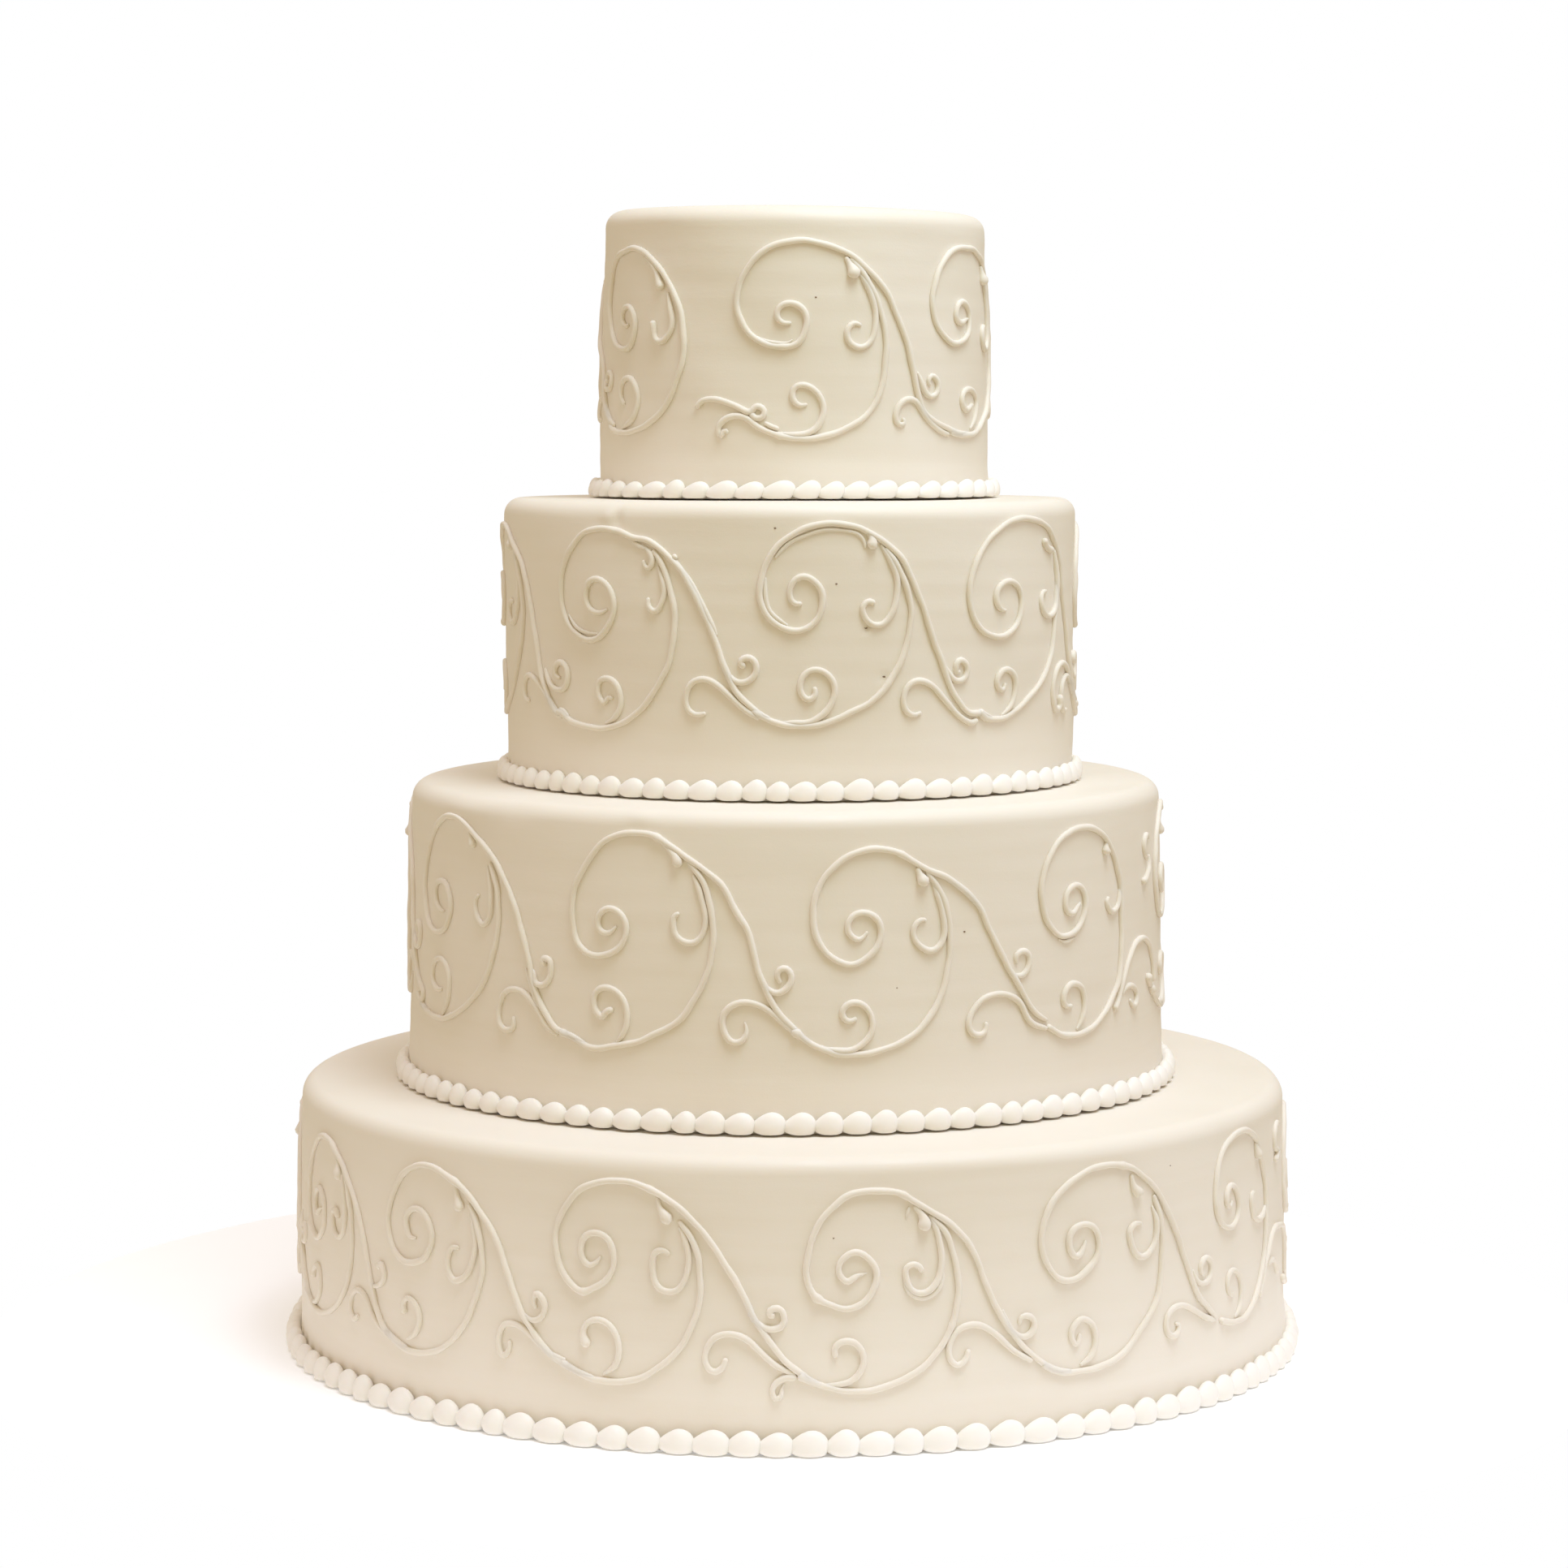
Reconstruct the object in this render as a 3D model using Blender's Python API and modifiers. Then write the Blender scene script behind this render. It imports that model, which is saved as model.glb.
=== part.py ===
"""A four-tier wedding cake in ivory fondant, with piped scrolls and pearl borders.

Metres, +Z up. The origin is the middle of the bottom tier's foot, and the
front of the cake looks towards -Y.
"""
import math
import random
from collections import namedtuple

import bmesh
import bpy
import numpy as np

MM = 0.001
GAP = 0.3 * MM            # clearance between pieces that touch
MERGE = 0.01 * MM         # points closer than this are one point

# One tier: its radius at the top edge and at the foot, the height of its foot
# and its own height, how far it stands off the middle, how its wall is divided
# into faces, scrolls and pearls, and the degrees between a scroll's bends.
Tier = namedtuple("Tier", "name top foot base height shift faces scrolls pearls bend")
TIERS = (
    Tier("bottom", 205.0 * MM, 207.0 * MM, 0.0 * MM, 111.4 * MM, 0.0 * MM, 56, 14, 104, 52),
    Tier("third", 155.4 * MM, 158.2 * MM, 111.4 * MM, 123.7 * MM, -2.7 * MM, 48, 10, 89, 50),
    Tier("second", 118.6 * MM, 117.8 * MM, 235.1 * MM, 116.5 * MM, -1.0 * MM, 44, 8, 71, 48),
    Tier("top", 78.4 * MM, 80.8 * MM, 351.6 * MM, 117.5 * MM, 0.9 * MM, 40, 6, 46, 40),
)
EDGE_ROUND = 6.8 * MM     # radius of the fondant's top edge
EDGE_STEPS = 2

# The circles that the scrolls in front are drawn in, in mm: where a circle's
# middle stands along the wall, to the right of the front, its lowest and
# highest places over the tier's foot, and its width.
Circle = namedtuple("Circle", "middle low high wide")
FRONT_CIRCLES = {
    "bottom": (Circle(-232.5, 25, 98, 53), Circle(-150.5, 25, 98, 51),
               Circle(-63.5, 25, 100, 59), Circle(33.5, 23.6, 98.6, 58),
               Circle(126.5, 24, 101.5, 59), Circle(215.5, 27, 102, 53)),
    "third": (Circle(-154.5, 32, 115, 61), Circle(-57, 31, 115, 60),
              Circle(37.5, 30, 108.4, 55), Circle(133.5, 31, 112, 55)),
    "second": (Circle(-164, 27, 105, 58), Circle(-75, 26, 104, 58),
               Circle(18, 28.7, 108, 60), Circle(102.5, 29, 108, 59)),
    "top": (Circle(-73, 26, 101, 54), Circle(6.5, 24, 102, 61),
            Circle(87.5, 25, 100.5, 55)),
}
BROKEN_VINE = ("top", 0)  # this tier's vine stops at this circle and starts afresh at the next
LINE_WIDE = 2.8 * MM      # a piped line where it lies on the wall
LINE_HIGH = 2.3 * MM      # how far it stands off the wall

BRANCH_SIZE = 0.85        # a branch's section against the vine's
SMALL_STEP = 1.6          # small curls bend at fewer points than the rest, and
WIDE_STEP = 0.7           # the widest arcs at more

# The drawn scroll is measured on a circle of this size and spacing, in mm.
DRAWN_WIDE = 57.0
DRAWN_HIGH = 75.0
DRAWN_SPACE = 35.0        # free wall between two circles

PEARL_WIDE = {"bottom": 6.2 * MM, "third": 5.4 * MM, "second": 4.6 * MM, "top": 4.8 * MM}
PEARL_HIGH = {"bottom": 10.3 * MM, "third": 9.2 * MM, "second": 8.9 * MM, "top": 7.8 * MM}
PEARL_WAIST = 0.62        # a pearl's section where it joins the next one
PEARL_UNEVEN = 0.06       # how much pearls differ in size
# The corners of a pearl's section, in halves of its width and height: its
# outermost point, its top, and its foot in the corner of wall and ledge.
PEARL_CORNERS = ((1.0, 0.0), (-0.15, 1.0), (-0.9, -1.0))

FONDANT = ("fondant", (0.76, 0.66, 0.52, 1.0), 0.55)
ICING = ("piped_icing", (0.86, 0.79, 0.67, 1.0), 0.42)


def clear_scene():
    for item in list(bpy.data.objects):
        bpy.data.objects.remove(item, do_unlink=True)


def new_collection(name):
    collection = bpy.data.collections.new(name)
    bpy.context.scene.collection.children.link(collection)
    return collection


def make_material(name, colour, roughness):
    material = bpy.data.materials.new(name)
    material.use_nodes = True
    shader = material.node_tree.nodes["Principled BSDF"]
    shader.inputs["Base Color"].default_value = colour
    shader.inputs["Roughness"].default_value = roughness
    shader.inputs["Metallic"].default_value = 0.0
    material.diffuse_color = colour
    return material


def finish_part(item, material, smooth_angle=40):
    item.data.materials.clear()
    item.data.materials.append(material)
    item.data.shade_smooth()
    item.data.set_sharp_from_angle(angle=math.radians(smooth_angle))


def wall_radius(tier, height):
    """The tier's radius at a height over its foot."""
    share = height / tier.height
    return tier.foot + (tier.top - tier.foot) * share


def tier_profile(tier):
    """The half section of a tier, from the middle of its top to that of its foot."""
    lift = 0.0 if tier.base == 0.0 else GAP
    edge_radius = wall_radius(tier, tier.height - EDGE_ROUND)
    points = [(0.0, tier.height)]
    for step in range(EDGE_STEPS + 1):
        angle = math.pi / 2 * (1 - step / EDGE_STEPS)
        points.append((edge_radius - EDGE_ROUND + EDGE_ROUND * math.cos(angle),
                       tier.height - EDGE_ROUND + EDGE_ROUND * math.sin(angle)))
    points.append((tier.foot, lift))
    points.append((0.0, lift))
    return points


def make_tier(tier, collection, material):
    """A solid tier, turned from its half section."""
    points = tier_profile(tier)
    mesh = bpy.data.meshes.new("tier_" + tier.name)
    edges = [(index, index + 1) for index in range(len(points) - 1)]
    mesh.from_pydata([(radius, 0.0, height) for radius, height in points], edges, [])
    item = bpy.data.objects.new("tier_" + tier.name, mesh)
    collection.objects.link(item)
    item.location = (tier.shift, 0.0, tier.base)
    screw = item.modifiers.new("turned", "SCREW")
    screw.steps = tier.faces
    screw.render_steps = tier.faces
    screw.use_merge_vertices = True
    screw.merge_threshold = MERGE
    screw.use_smooth_shade = True
    mesh.materials.append(material)
    return item


def winding(centre, start, end, radius, end_radius, step):
    """Points on a line that winds round a centre, from one angle to another, in degrees."""
    count = max(1, round(abs(end - start) / step))
    points = []
    for index in range(count + 1):
        share = index / count
        angle = math.radians(start + (end - start) * share)
        reach = radius + (end_radius - radius) * share
        points.append((centre[0] + reach * math.cos(angle), centre[1] + reach * math.sin(angle)))
    return points


def on_line(points, across):
    """The point of a line, drawn from left to right, that stands at a place across."""
    places, heights = zip(*points)
    return across, float(np.interp(across, places, heights))


def drawn_lines(step):
    """One scroll's lines, in mm from the middle of its circle, with a bend every step degrees.

    Each point says which circle it belongs to: 0 is this one, 1 is the next
    one to the right. The vine unwinds from its eye, goes over the top and down
    to the next circle, and runs round that as its bowl. The others branch off.
    """
    eye = (-10.8, 8.2)
    small = step * SMALL_STEP
    unwinding = winding(eye, 230, 0, 5.6, 8.6, small) + winding(eye, -47, -160, 11.5, 18.2, step)
    over_the_top = winding(eye, -195, -290, 19.2, 31.2, step * WIDE_STEP)
    shoulder = [over_the_top[-1], (21.0, 29.0)]
    bowl = winding((-9.0, 1.5), -155, 18, 40.0, 38.5, step * WIDE_STEP)
    vine = [(0, point) for point in unwinding + over_the_top + shoulder[1:] + [(33.0, 18.5)]]
    vine += [(1, point) for point in [(-54.0, 1.5)] + bowl + [on_line(shoulder, 16.5)]]
    hook = [on_line(shoulder, 8.5)] + winding((13.0, 5.0), 35, -190, 11.8, 5.6, small)
    bud = [on_line(bowl, -9.0)] + winding((-10.8, -26.0), -28, 160, 7.8, 5.6, small)
    leaf = [on_line(bowl, -38.0)] + winding((-59.5, -24.2), 55, 220, 10.0, 6.0, small)
    return [vine] + [[(0, point) for point in branch] for branch in (hook, bud, leaf)]


def middle_radius(tier):
    return wall_radius(tier, tier.height / 2)


def all_circles(tier):
    """The circles of a tier's scrolls: those in front, evenly spaced ones behind, and the first again.

    The list goes once round the tier, with one more circle at each end.
    """
    shown = FRONT_CIRCLES[tier.name]
    girth = math.tau * middle_radius(tier) / MM
    behind = tier.scrolls - len(shown)
    space = (girth + shown[0].middle - shown[-1].middle) / (behind + 1)
    circles = list(shown)
    for index in range(behind):
        model = shown[index % len(shown)]
        circles.append(model._replace(middle=shown[-1].middle + space * (index + 1)))
    last, first = circles[-1], circles[0]
    return ([last._replace(middle=last.middle - girth)] + circles
            + [first._replace(middle=first.middle + girth)])


def place_point(circles, index, point):
    """A drawn point's place along the wall and over the tier's foot, in metres."""
    circle = circles[index]
    neighbour = circles[index + 1] if point[0] > 0 and index + 1 < len(circles) else circles[index - 1]
    space = abs(neighbour.middle - circle.middle) - (neighbour.wide + circle.wide) / 2
    half = DRAWN_WIDE / 2
    beyond = max(0.0, abs(point[0]) - half)
    across = min(abs(point[0]), half) * circle.wide / DRAWN_WIDE + beyond * space / DRAWN_SPACE
    across = math.copysign(across, point[0])
    height = circle.low + (point[1] / DRAWN_HIGH + 0.5) * (circle.high - circle.low)
    return (circle.middle + across) * MM, height * MM


def break_vine(vine):
    """A vine without its stem: its head at this circle, and its bowl at the next."""
    head = [place for place in vine if place[0] == 0]
    bowl = [place for place in vine if place[0] == 1]
    return [head[:-1], bowl[1:]]


def line_section():
    """The section of a piped line: a ridge with its flat side to the wall."""
    curve = bpy.data.curves.new("line_section", "CURVE")
    curve.dimensions = "2D"
    corners = ((-LINE_WIDE / 2, 0.0), (0.0, LINE_HIGH), (LINE_WIDE / 2, 0.0))
    spline = curve.splines.new("POLY")
    spline.points.add(len(corners) - 1)
    for point, corner in zip(spline.points, corners):
        point.co = (corner[0], corner[1], 0.0, 1.0)
    spline.use_cyclic_u = True
    item = bpy.data.objects.new("line_section", curve)
    bpy.context.scene.collection.objects.link(item)
    return item


def flat_line(points, section, size, end_size):
    """A piped line as a closed mesh lying flat in the XY plane, standing up along Z.

    Its section is drawn at one size, and at another at its last point.
    """
    curve = bpy.data.curves.new("line", "CURVE")
    curve.dimensions = "2D"
    curve.fill_mode = "NONE"
    curve.bevel_mode = "OBJECT"
    curve.bevel_object = section
    curve.use_fill_caps = True
    spline = curve.splines.new("POLY")
    spline.points.add(len(points) - 1)
    for point, place in zip(spline.points, points):
        point.co = (place[0], place[1], 0.0, 1.0)
        point.radius = size
    spline.points[-1].radius = end_size
    item = bpy.data.objects.new("line", curve)
    bpy.context.scene.collection.objects.link(item)
    depsgraph = bpy.context.evaluated_depsgraph_get()
    mesh = bpy.data.meshes.new_from_object(item.evaluated_get(depsgraph))
    bpy.data.objects.remove(item, do_unlink=True)
    weld_caps(mesh)
    return mesh


def longest_step(lines):
    """The longest stretch along the wall between two points of one line."""
    return max(abs(after[0] - before[0])
               for points in lines for before, after in zip(points, points[1:]))


def wrap_on_wall(mesh, tier, bulge):
    """Bends a flat band round the tier, so that its straight stretches just clear the wall."""
    for vertex in mesh.vertices:
        along, height, stand = vertex.co
        angle = along / middle_radius(tier)
        radius = wall_radius(tier, height) + GAP + bulge + stand
        vertex.co = (radius * math.sin(angle), -radius * math.cos(angle), height)


def weld_caps(mesh):
    """Joins a line's loose caps to its sides, and turns every face outwards."""
    work = bmesh.new()
    work.from_mesh(mesh)
    bmesh.ops.remove_doubles(work, verts=work.verts, dist=MERGE)
    bmesh.ops.recalc_face_normals(work, faces=work.faces)
    work.to_mesh(mesh)
    work.free()


def split_faces(mesh):
    """Splits every face into triangles."""
    work = bmesh.new()
    work.from_mesh(mesh)
    bmesh.ops.triangulate(work, faces=work.faces)
    work.to_mesh(mesh)
    work.free()


def unite(name, meshes):
    """One closed mesh, joined from several by a Boolean union on a collection."""
    others = new_collection(name + "_others")
    for mesh in meshes[1:]:
        others.objects.link(bpy.data.objects.new(name + "_other", mesh))
    item = bpy.data.objects.new(name, meshes[0])
    bpy.context.scene.collection.objects.link(item)
    union = item.modifiers.new("united", "BOOLEAN")
    union.operation = "UNION"
    union.operand_type = "COLLECTION"
    union.collection = others
    union.solver = "MANIFOLD"
    depsgraph = bpy.context.evaluated_depsgraph_get()
    mesh = bpy.data.meshes.new_from_object(item.evaluated_get(depsgraph))
    for other in [item] + list(others.objects):
        bpy.data.objects.remove(other, do_unlink=True)
    bpy.data.collections.remove(others)
    split_faces(mesh)
    return mesh


def make_scrolls(tier, collection, material):
    """A tier's running scroll: its lines joined into one band round the wall.

    Each half of the band is joined lying flat and then bent round the tier,
    and the two halves are joined there.
    """
    circles = all_circles(tier)
    section = line_section()
    name = "scrolls_" + tier.name
    middle = tier.scrolls // 2
    halves = []
    for scrolls in (range(middle), range(middle, tier.scrolls)):
        vines = []
        branches = []
        for index in scrolls:
            vine, *others = drawn_lines(tier.bend)
            parts = break_vine(vine) if (tier.name, index) == BROKEN_VINE else [vine]
            for lines, drawn in ((vines, parts), (branches, others)):
                lines += [[place_point(circles, 1 + index + ahead, point) for ahead, point in line]
                          for line in drawn]
        pieces = [flat_line(points, section, 1.0, BRANCH_SIZE) for points in vines]
        pieces += [flat_line(points, section, BRANCH_SIZE, BRANCH_SIZE) for points in branches]
        mesh = unite(name, pieces)
        wrap_on_wall(mesh, tier, longest_step(vines + branches) ** 2 / (8 * tier.top))
        halves.append(mesh)
    item = bpy.data.objects.new(name, unite(name, halves))
    collection.objects.link(item)
    item.location = (tier.shift, 0.0, tier.base)
    bpy.data.objects.remove(section, do_unlink=True)
    finish_part(item, material)
    return item


def make_pearls(tier, collection, material, seed):
    """The pearl border round a tier's foot: one ring, full at each pearl, thin between."""
    chance = random.Random(seed)
    half_wide = PEARL_WIDE[tier.name] / 2
    half_high = PEARL_HIGH[tier.name] / 2
    lift = 0.0 if tier.base == 0.0 else GAP
    sizes = []
    for _ in range(tier.pearls):
        size = 1.0 - PEARL_UNEVEN * chance.random()
        sizes += [size, size * PEARL_WAIST]
    bpy.ops.mesh.primitive_torus_add(
        major_segments=len(sizes), minor_segments=len(PEARL_CORNERS),
        major_radius=tier.foot, minor_radius=half_wide)
    item = bpy.context.object
    item.name = "pearls_" + tier.name
    inner_radius = tier.foot + 2 * GAP
    for vertex in item.data.vertices:
        station, corner = divmod(vertex.index, len(PEARL_CORNERS))
        size = sizes[station]
        outwards, upwards = PEARL_CORNERS[corner]
        radius = inner_radius + half_wide * size * (1.0 + outwards)
        height = lift + half_high * size * (1.0 + upwards)
        angle = math.tau * station / len(sizes)
        vertex.co = (radius * math.cos(angle), radius * math.sin(angle), height)
    item.location = (tier.shift, 0.0, tier.base)
    for owner in list(item.users_collection):
        owner.objects.unlink(item)
    collection.objects.link(item)
    finish_part(item, material)
    return item


def main():
    clear_scene()
    cake = new_collection("wedding_cake")
    fondant = make_material(*FONDANT)
    icing = make_material(*ICING)
    for number, tier in enumerate(TIERS):
        make_tier(tier, cake, fondant)
        make_scrolls(tier, cake, icing)
        make_pearls(tier, cake, icing, seed=number)


main()
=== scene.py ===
"""A stacked wedding cake: ivory fondant tiers, piped running scrolls and pearl borders."""

from collections import namedtuple
from math import cos, pi, radians, sin, tau

import bpy
import numpy as np
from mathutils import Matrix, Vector


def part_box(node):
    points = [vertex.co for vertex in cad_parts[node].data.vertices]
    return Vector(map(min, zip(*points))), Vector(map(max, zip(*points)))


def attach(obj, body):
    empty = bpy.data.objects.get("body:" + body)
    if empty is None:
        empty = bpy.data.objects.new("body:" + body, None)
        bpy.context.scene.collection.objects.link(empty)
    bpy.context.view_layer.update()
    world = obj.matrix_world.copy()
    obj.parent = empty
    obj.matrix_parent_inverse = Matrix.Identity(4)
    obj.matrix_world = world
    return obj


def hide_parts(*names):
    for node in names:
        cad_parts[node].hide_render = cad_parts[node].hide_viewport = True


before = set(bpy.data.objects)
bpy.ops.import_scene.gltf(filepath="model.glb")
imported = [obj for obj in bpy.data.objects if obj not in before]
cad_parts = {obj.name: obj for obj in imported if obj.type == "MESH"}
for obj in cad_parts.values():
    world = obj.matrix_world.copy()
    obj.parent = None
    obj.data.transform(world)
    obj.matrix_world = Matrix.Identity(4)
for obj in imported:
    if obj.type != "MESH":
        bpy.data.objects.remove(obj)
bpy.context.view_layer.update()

MM = 0.001
SEED = 41

# How the photograph was taken, with the cake's front towards -Y.
CAMERA_PLACE = (-0.0034, -1.622, 0.379)
CAMERA_DOWN = 5.2  # degrees below level
CAMERA_LENS = 89.2

# Piping, in millimetres across a wall: u runs to the right of the front, v up from the tier's foot.
ROPE = 1.24  # radius of a piped line
ROPE_LIFT = 0.38  # share of the radius by which a line's middle stands off the wall
ROPE_DEPTH = 0.95  # a line's depth off the wall, as a share of its width
LINE_STEP = 1.1  # length of one short piece of a line
RING = 10  # points round a line
CAP_RINGS = (0.12, 0.4, 0.8)  # where the rounded ends have rings, as shares of the radius
END_FADE = 6.0  # how far from a line's end its thickness there fades out
TREMBLES = ((0.09, 3.1), (0.06, 1.7))  # how far a line shakes sideways, and over what length
SWELLS = ((0.05, 6.3), (0.035, 2.3))  # by what share its thickness varies, and over what length
VINE_LIFT, BOWL_LIFT, TWIG_LIFT = 0.14, 0.04, 0.1  # how far off the wall the kinds of line differ
STRAND = 0.5  # how far over the start of a bowl the vine that lands on it runs
FRONT_SWAY, SWAY = 0.12, 0.45  # how far a line that is moved strays, at the front and elsewhere
HIDDEN_SHIFT, HIDDEN_GROWTH = 2, 1  # how much the hidden circles vary in place and in height
HIDDEN_WIDE = 0.64  # the most that a hidden circle takes of its room

# A piped line: its places, its thickness at both ends, its own thickness, and its swellings.
Line = namedtuple("Line", "points start end thick knobs", defaults=(0.5, 0.7, 1.0, ()))
# One turn of the running scroll, as piped round the circle at the front of a tier: the spiral and its
# ring, the stem towards the next circle and its landing there, the circle's bowl, its twigs, and what
# only the front has.
Motif = namedtuple("Motif", "centre low high wide head stem landing bowl twigs extras")
# One circle of the band: where it stands, its lowest and highest places, its width, and its own lines.
Circle = namedtuple("Circle", "middle low high wide own", defaults=({},))
# What the photograph shows of a tier beyond the frame's sizes.
Tier = namedtuple("Tier", "name lean edge pearls pearl_lean motif circles count drawn")

MOTIF_BOTTOM = Motif(
    centre=33.6, low=23.6, high=98.8, wide=58,
    head=Line([
        (27.4, 67.9), (23.1, 66.7), (20, 65.0), (17.3, 67.7), (17.3, 72.0), (22.8, 76.0),
        (28.4, 73.0), (30.9, 66.4), (28.8, 60.2), (25, 56.4), (20, 54.9), (14.4, 56.1),
        (9.2, 58.6), (5.9, 63.3), (4.7, 70.2), (6.3, 78.9), (10, 87.7), (16.3, 94.5),
        (22.5, 98), (30.6, 98.8), (38.1, 98), (46.0, 93.9), (53.8, 88.9),
    ], start=0.25, knobs=((9.0, 58.8, 0.45, 1.6), (41.5, 96.8, 0.28, 1.4))),
    stem=[(60, 84.5), (65.3, 79), (70, 71.8), (74.6, 62.4), (79.6, 52.6)],
    landing=[(-8.5, 42.6), (-3.8, 36.4), (0.9, 32.2)],
    bowl=Line([
        (1.8, 30.2), (5.6, 28.2), (10, 26.4), (16.3, 24.5), (23.8, 23.8), (31.9, 24.6),
        (41.3, 27.8), (50, 32.9), (57, 41.0), (61.3, 50.8), (62.6, 60.2), (61.9, 68.3),
        (59.7, 76.8), (56.4, 83.4), (51.4, 88.2),
    ], start=1.15, knobs=((59.6, 46.6, 0.22, 1.5), (2.6, 30, 0.35, 1.3))),
    twigs={
        "hook": Line([
            (51.2, 88.6), (54.2, 83.0), (55.6, 76), (55.8, 69.5), (54, 63.5), (49, 59.6),
            (44.2, 61), (42.1, 65.2), (42.2, 69.2), (45, 70.4), (47.6, 69), (48.3, 67.3)],
            end=1.05),
        "drip": Line([(45.3, 92.6), (48.2, 89.4), (49.4, 86.2), (49.3, 83)], 0.8, 2.2),
        "curl": Line([
            (12, 26.4), (18, 26.5), (23, 29), (26, 33.6), (25.7, 38.5), (22.6, 42.2),
            (18.6, 42.5), (15.6, 40), (15.8, 36.6)], end=1.1),
        "spray": Line([
            (1, 30), (-4, 32.6), (-10, 36.9), (-16.3, 42.6), (-23.1, 45.3), (-28.8, 43.6),
            (-32.3, 38.3), (-32, 33), (-29.4, 30.6), (-26.3, 32.3), (-25, 36.2)], 0.8, 0.85),
        "tendril": Line([
            (-17.8, 58.8), (-15.2, 52), (-11.9, 48.2), (-7.8, 47.1), (-4.2, 48.7),
            (-3.6, 52.4), (-6.2, 54.9), (-8.8, 53.4), (-7, 51.5)], end=1.2),
    },
    extras=[
        Line([(56.6, 68.5), (55.6, 62.4), (51.6, 58.2), (46.4, 58.1), (42.6, 61.4), (41.5, 66)],
             0.4, 0.4, 0.8),
        Line([(42.5, 87), (42.7, 89.6), (43.6, 92.2)], 0.2, 0.65, 0.7),
        Line([(1.4, 29.2), (-3, 29.2), (-6.4, 27), (-7.7, 23.5), (-6.1, 21.2), (-4.5, 22.8),
              (-4.3, 25), (-3.1, 26.8)], 1.1, 0.3),
    ],
)

MOTIF_THIRD = Motif(
    centre=37.5, low=30.3, high=108.8, wide=55,
    head=Line([
        (31.5, 77.2), (27.8, 74.4), (24.7, 76.3), (23.5, 80), (25.3, 83.2), (30, 84.6),
        (34.8, 82), (36.7, 77.1), (35, 71.2), (30, 66.6), (24.4, 64.8), (19.6, 66.2),
        (13.8, 71.6), (11, 77.6), (10.2, 83.4), (11.3, 91.6), (15.6, 99.7), (21.9, 105),
        (28.1, 107.8), (34.4, 108.8), (41, 107.7), (47.5, 104.8), (55.6, 100),
    ], start=0.5, knobs=((44.8, 105.6, 0.3, 1.3),)),
    stem=[(63.4, 96.3), (68.8, 93), (73.6, 88.3), (77.4, 82.4)],
    landing=[(-12.5, 70.9), (-10, 61.6), (-6.9, 54.1), (-3.1, 47.2), (1.9, 41.6), (7.4, 37)],
    bowl=Line([
        (2.2, 40.4), (5.4, 37.6), (9.4, 34.9), (13.8, 32.7), (20, 30.6), (26.9, 30.4),
        (34.4, 31.3), (41.9, 33.4), (48.8, 36.9), (55, 42.2), (60, 49.7), (63.1, 57.8),
        (64.7, 65.9), (65, 74.1), (64.3, 81.6), (62.3, 88.2), (59, 94.4), (55.2, 99.3),
    ], start=1.2, knobs=((4.2, 38.8, 0.45, 1.5),)),
    twigs={
        "hook": Line([
            (57.6, 95.4), (60.3, 89), (62.2, 82.8), (62.6, 76), (60.8, 71.1), (56.9, 69),
            (53.1, 70.4), (50.1, 74.3), (50.4, 78.6), (52.6, 80.9), (55.2, 80.8)]),
        "drip": Line([(51.6, 101.2), (52.7, 98.4), (53.7, 96), (53.9, 93.9)], 0.9, 2.1),
        "curl": Line([
            (14, 33.2), (20, 31.9), (25.4, 32.2), (29.8, 34.7), (32.5, 38.6), (33, 43),
            (31.3, 47.3), (28.1, 49.8), (24.6, 50), (22, 48), (21.8, 44.8), (24.3, 43),
            (27, 44.3)]),
        "spray": Line([
            (4.6, 37.8), (0.6, 41.2), (-3.4, 44.8), (-7.3, 47.8), (-11.3, 50), (-15.6, 50.7),
            (-20, 49.6), (-23.3, 46.4), (-24.2, 42), (-23, 37.8), (-20.1, 35.2),
            (-16.9, 35.8), (-15.1, 39.1), (-15.9, 43)], 0.8, 0.4),
        "tendril": Line([
            (-9.8, 60.5), (-8.2, 57.4), (-5.8, 55.1), (-3.1, 54.2), (0, 55.6), (1.9, 58.6),
            (1.8, 61.8), (-0.4, 63.7), (-2.6, 62.8), (-3, 60.3), (-1.7, 58)]),
    },
    extras=[Line([(61, 97.4), (66, 95), (71, 91.6), (76, 87), (80, 82)], 0.4, 0.4, 0.85)],
)

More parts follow.
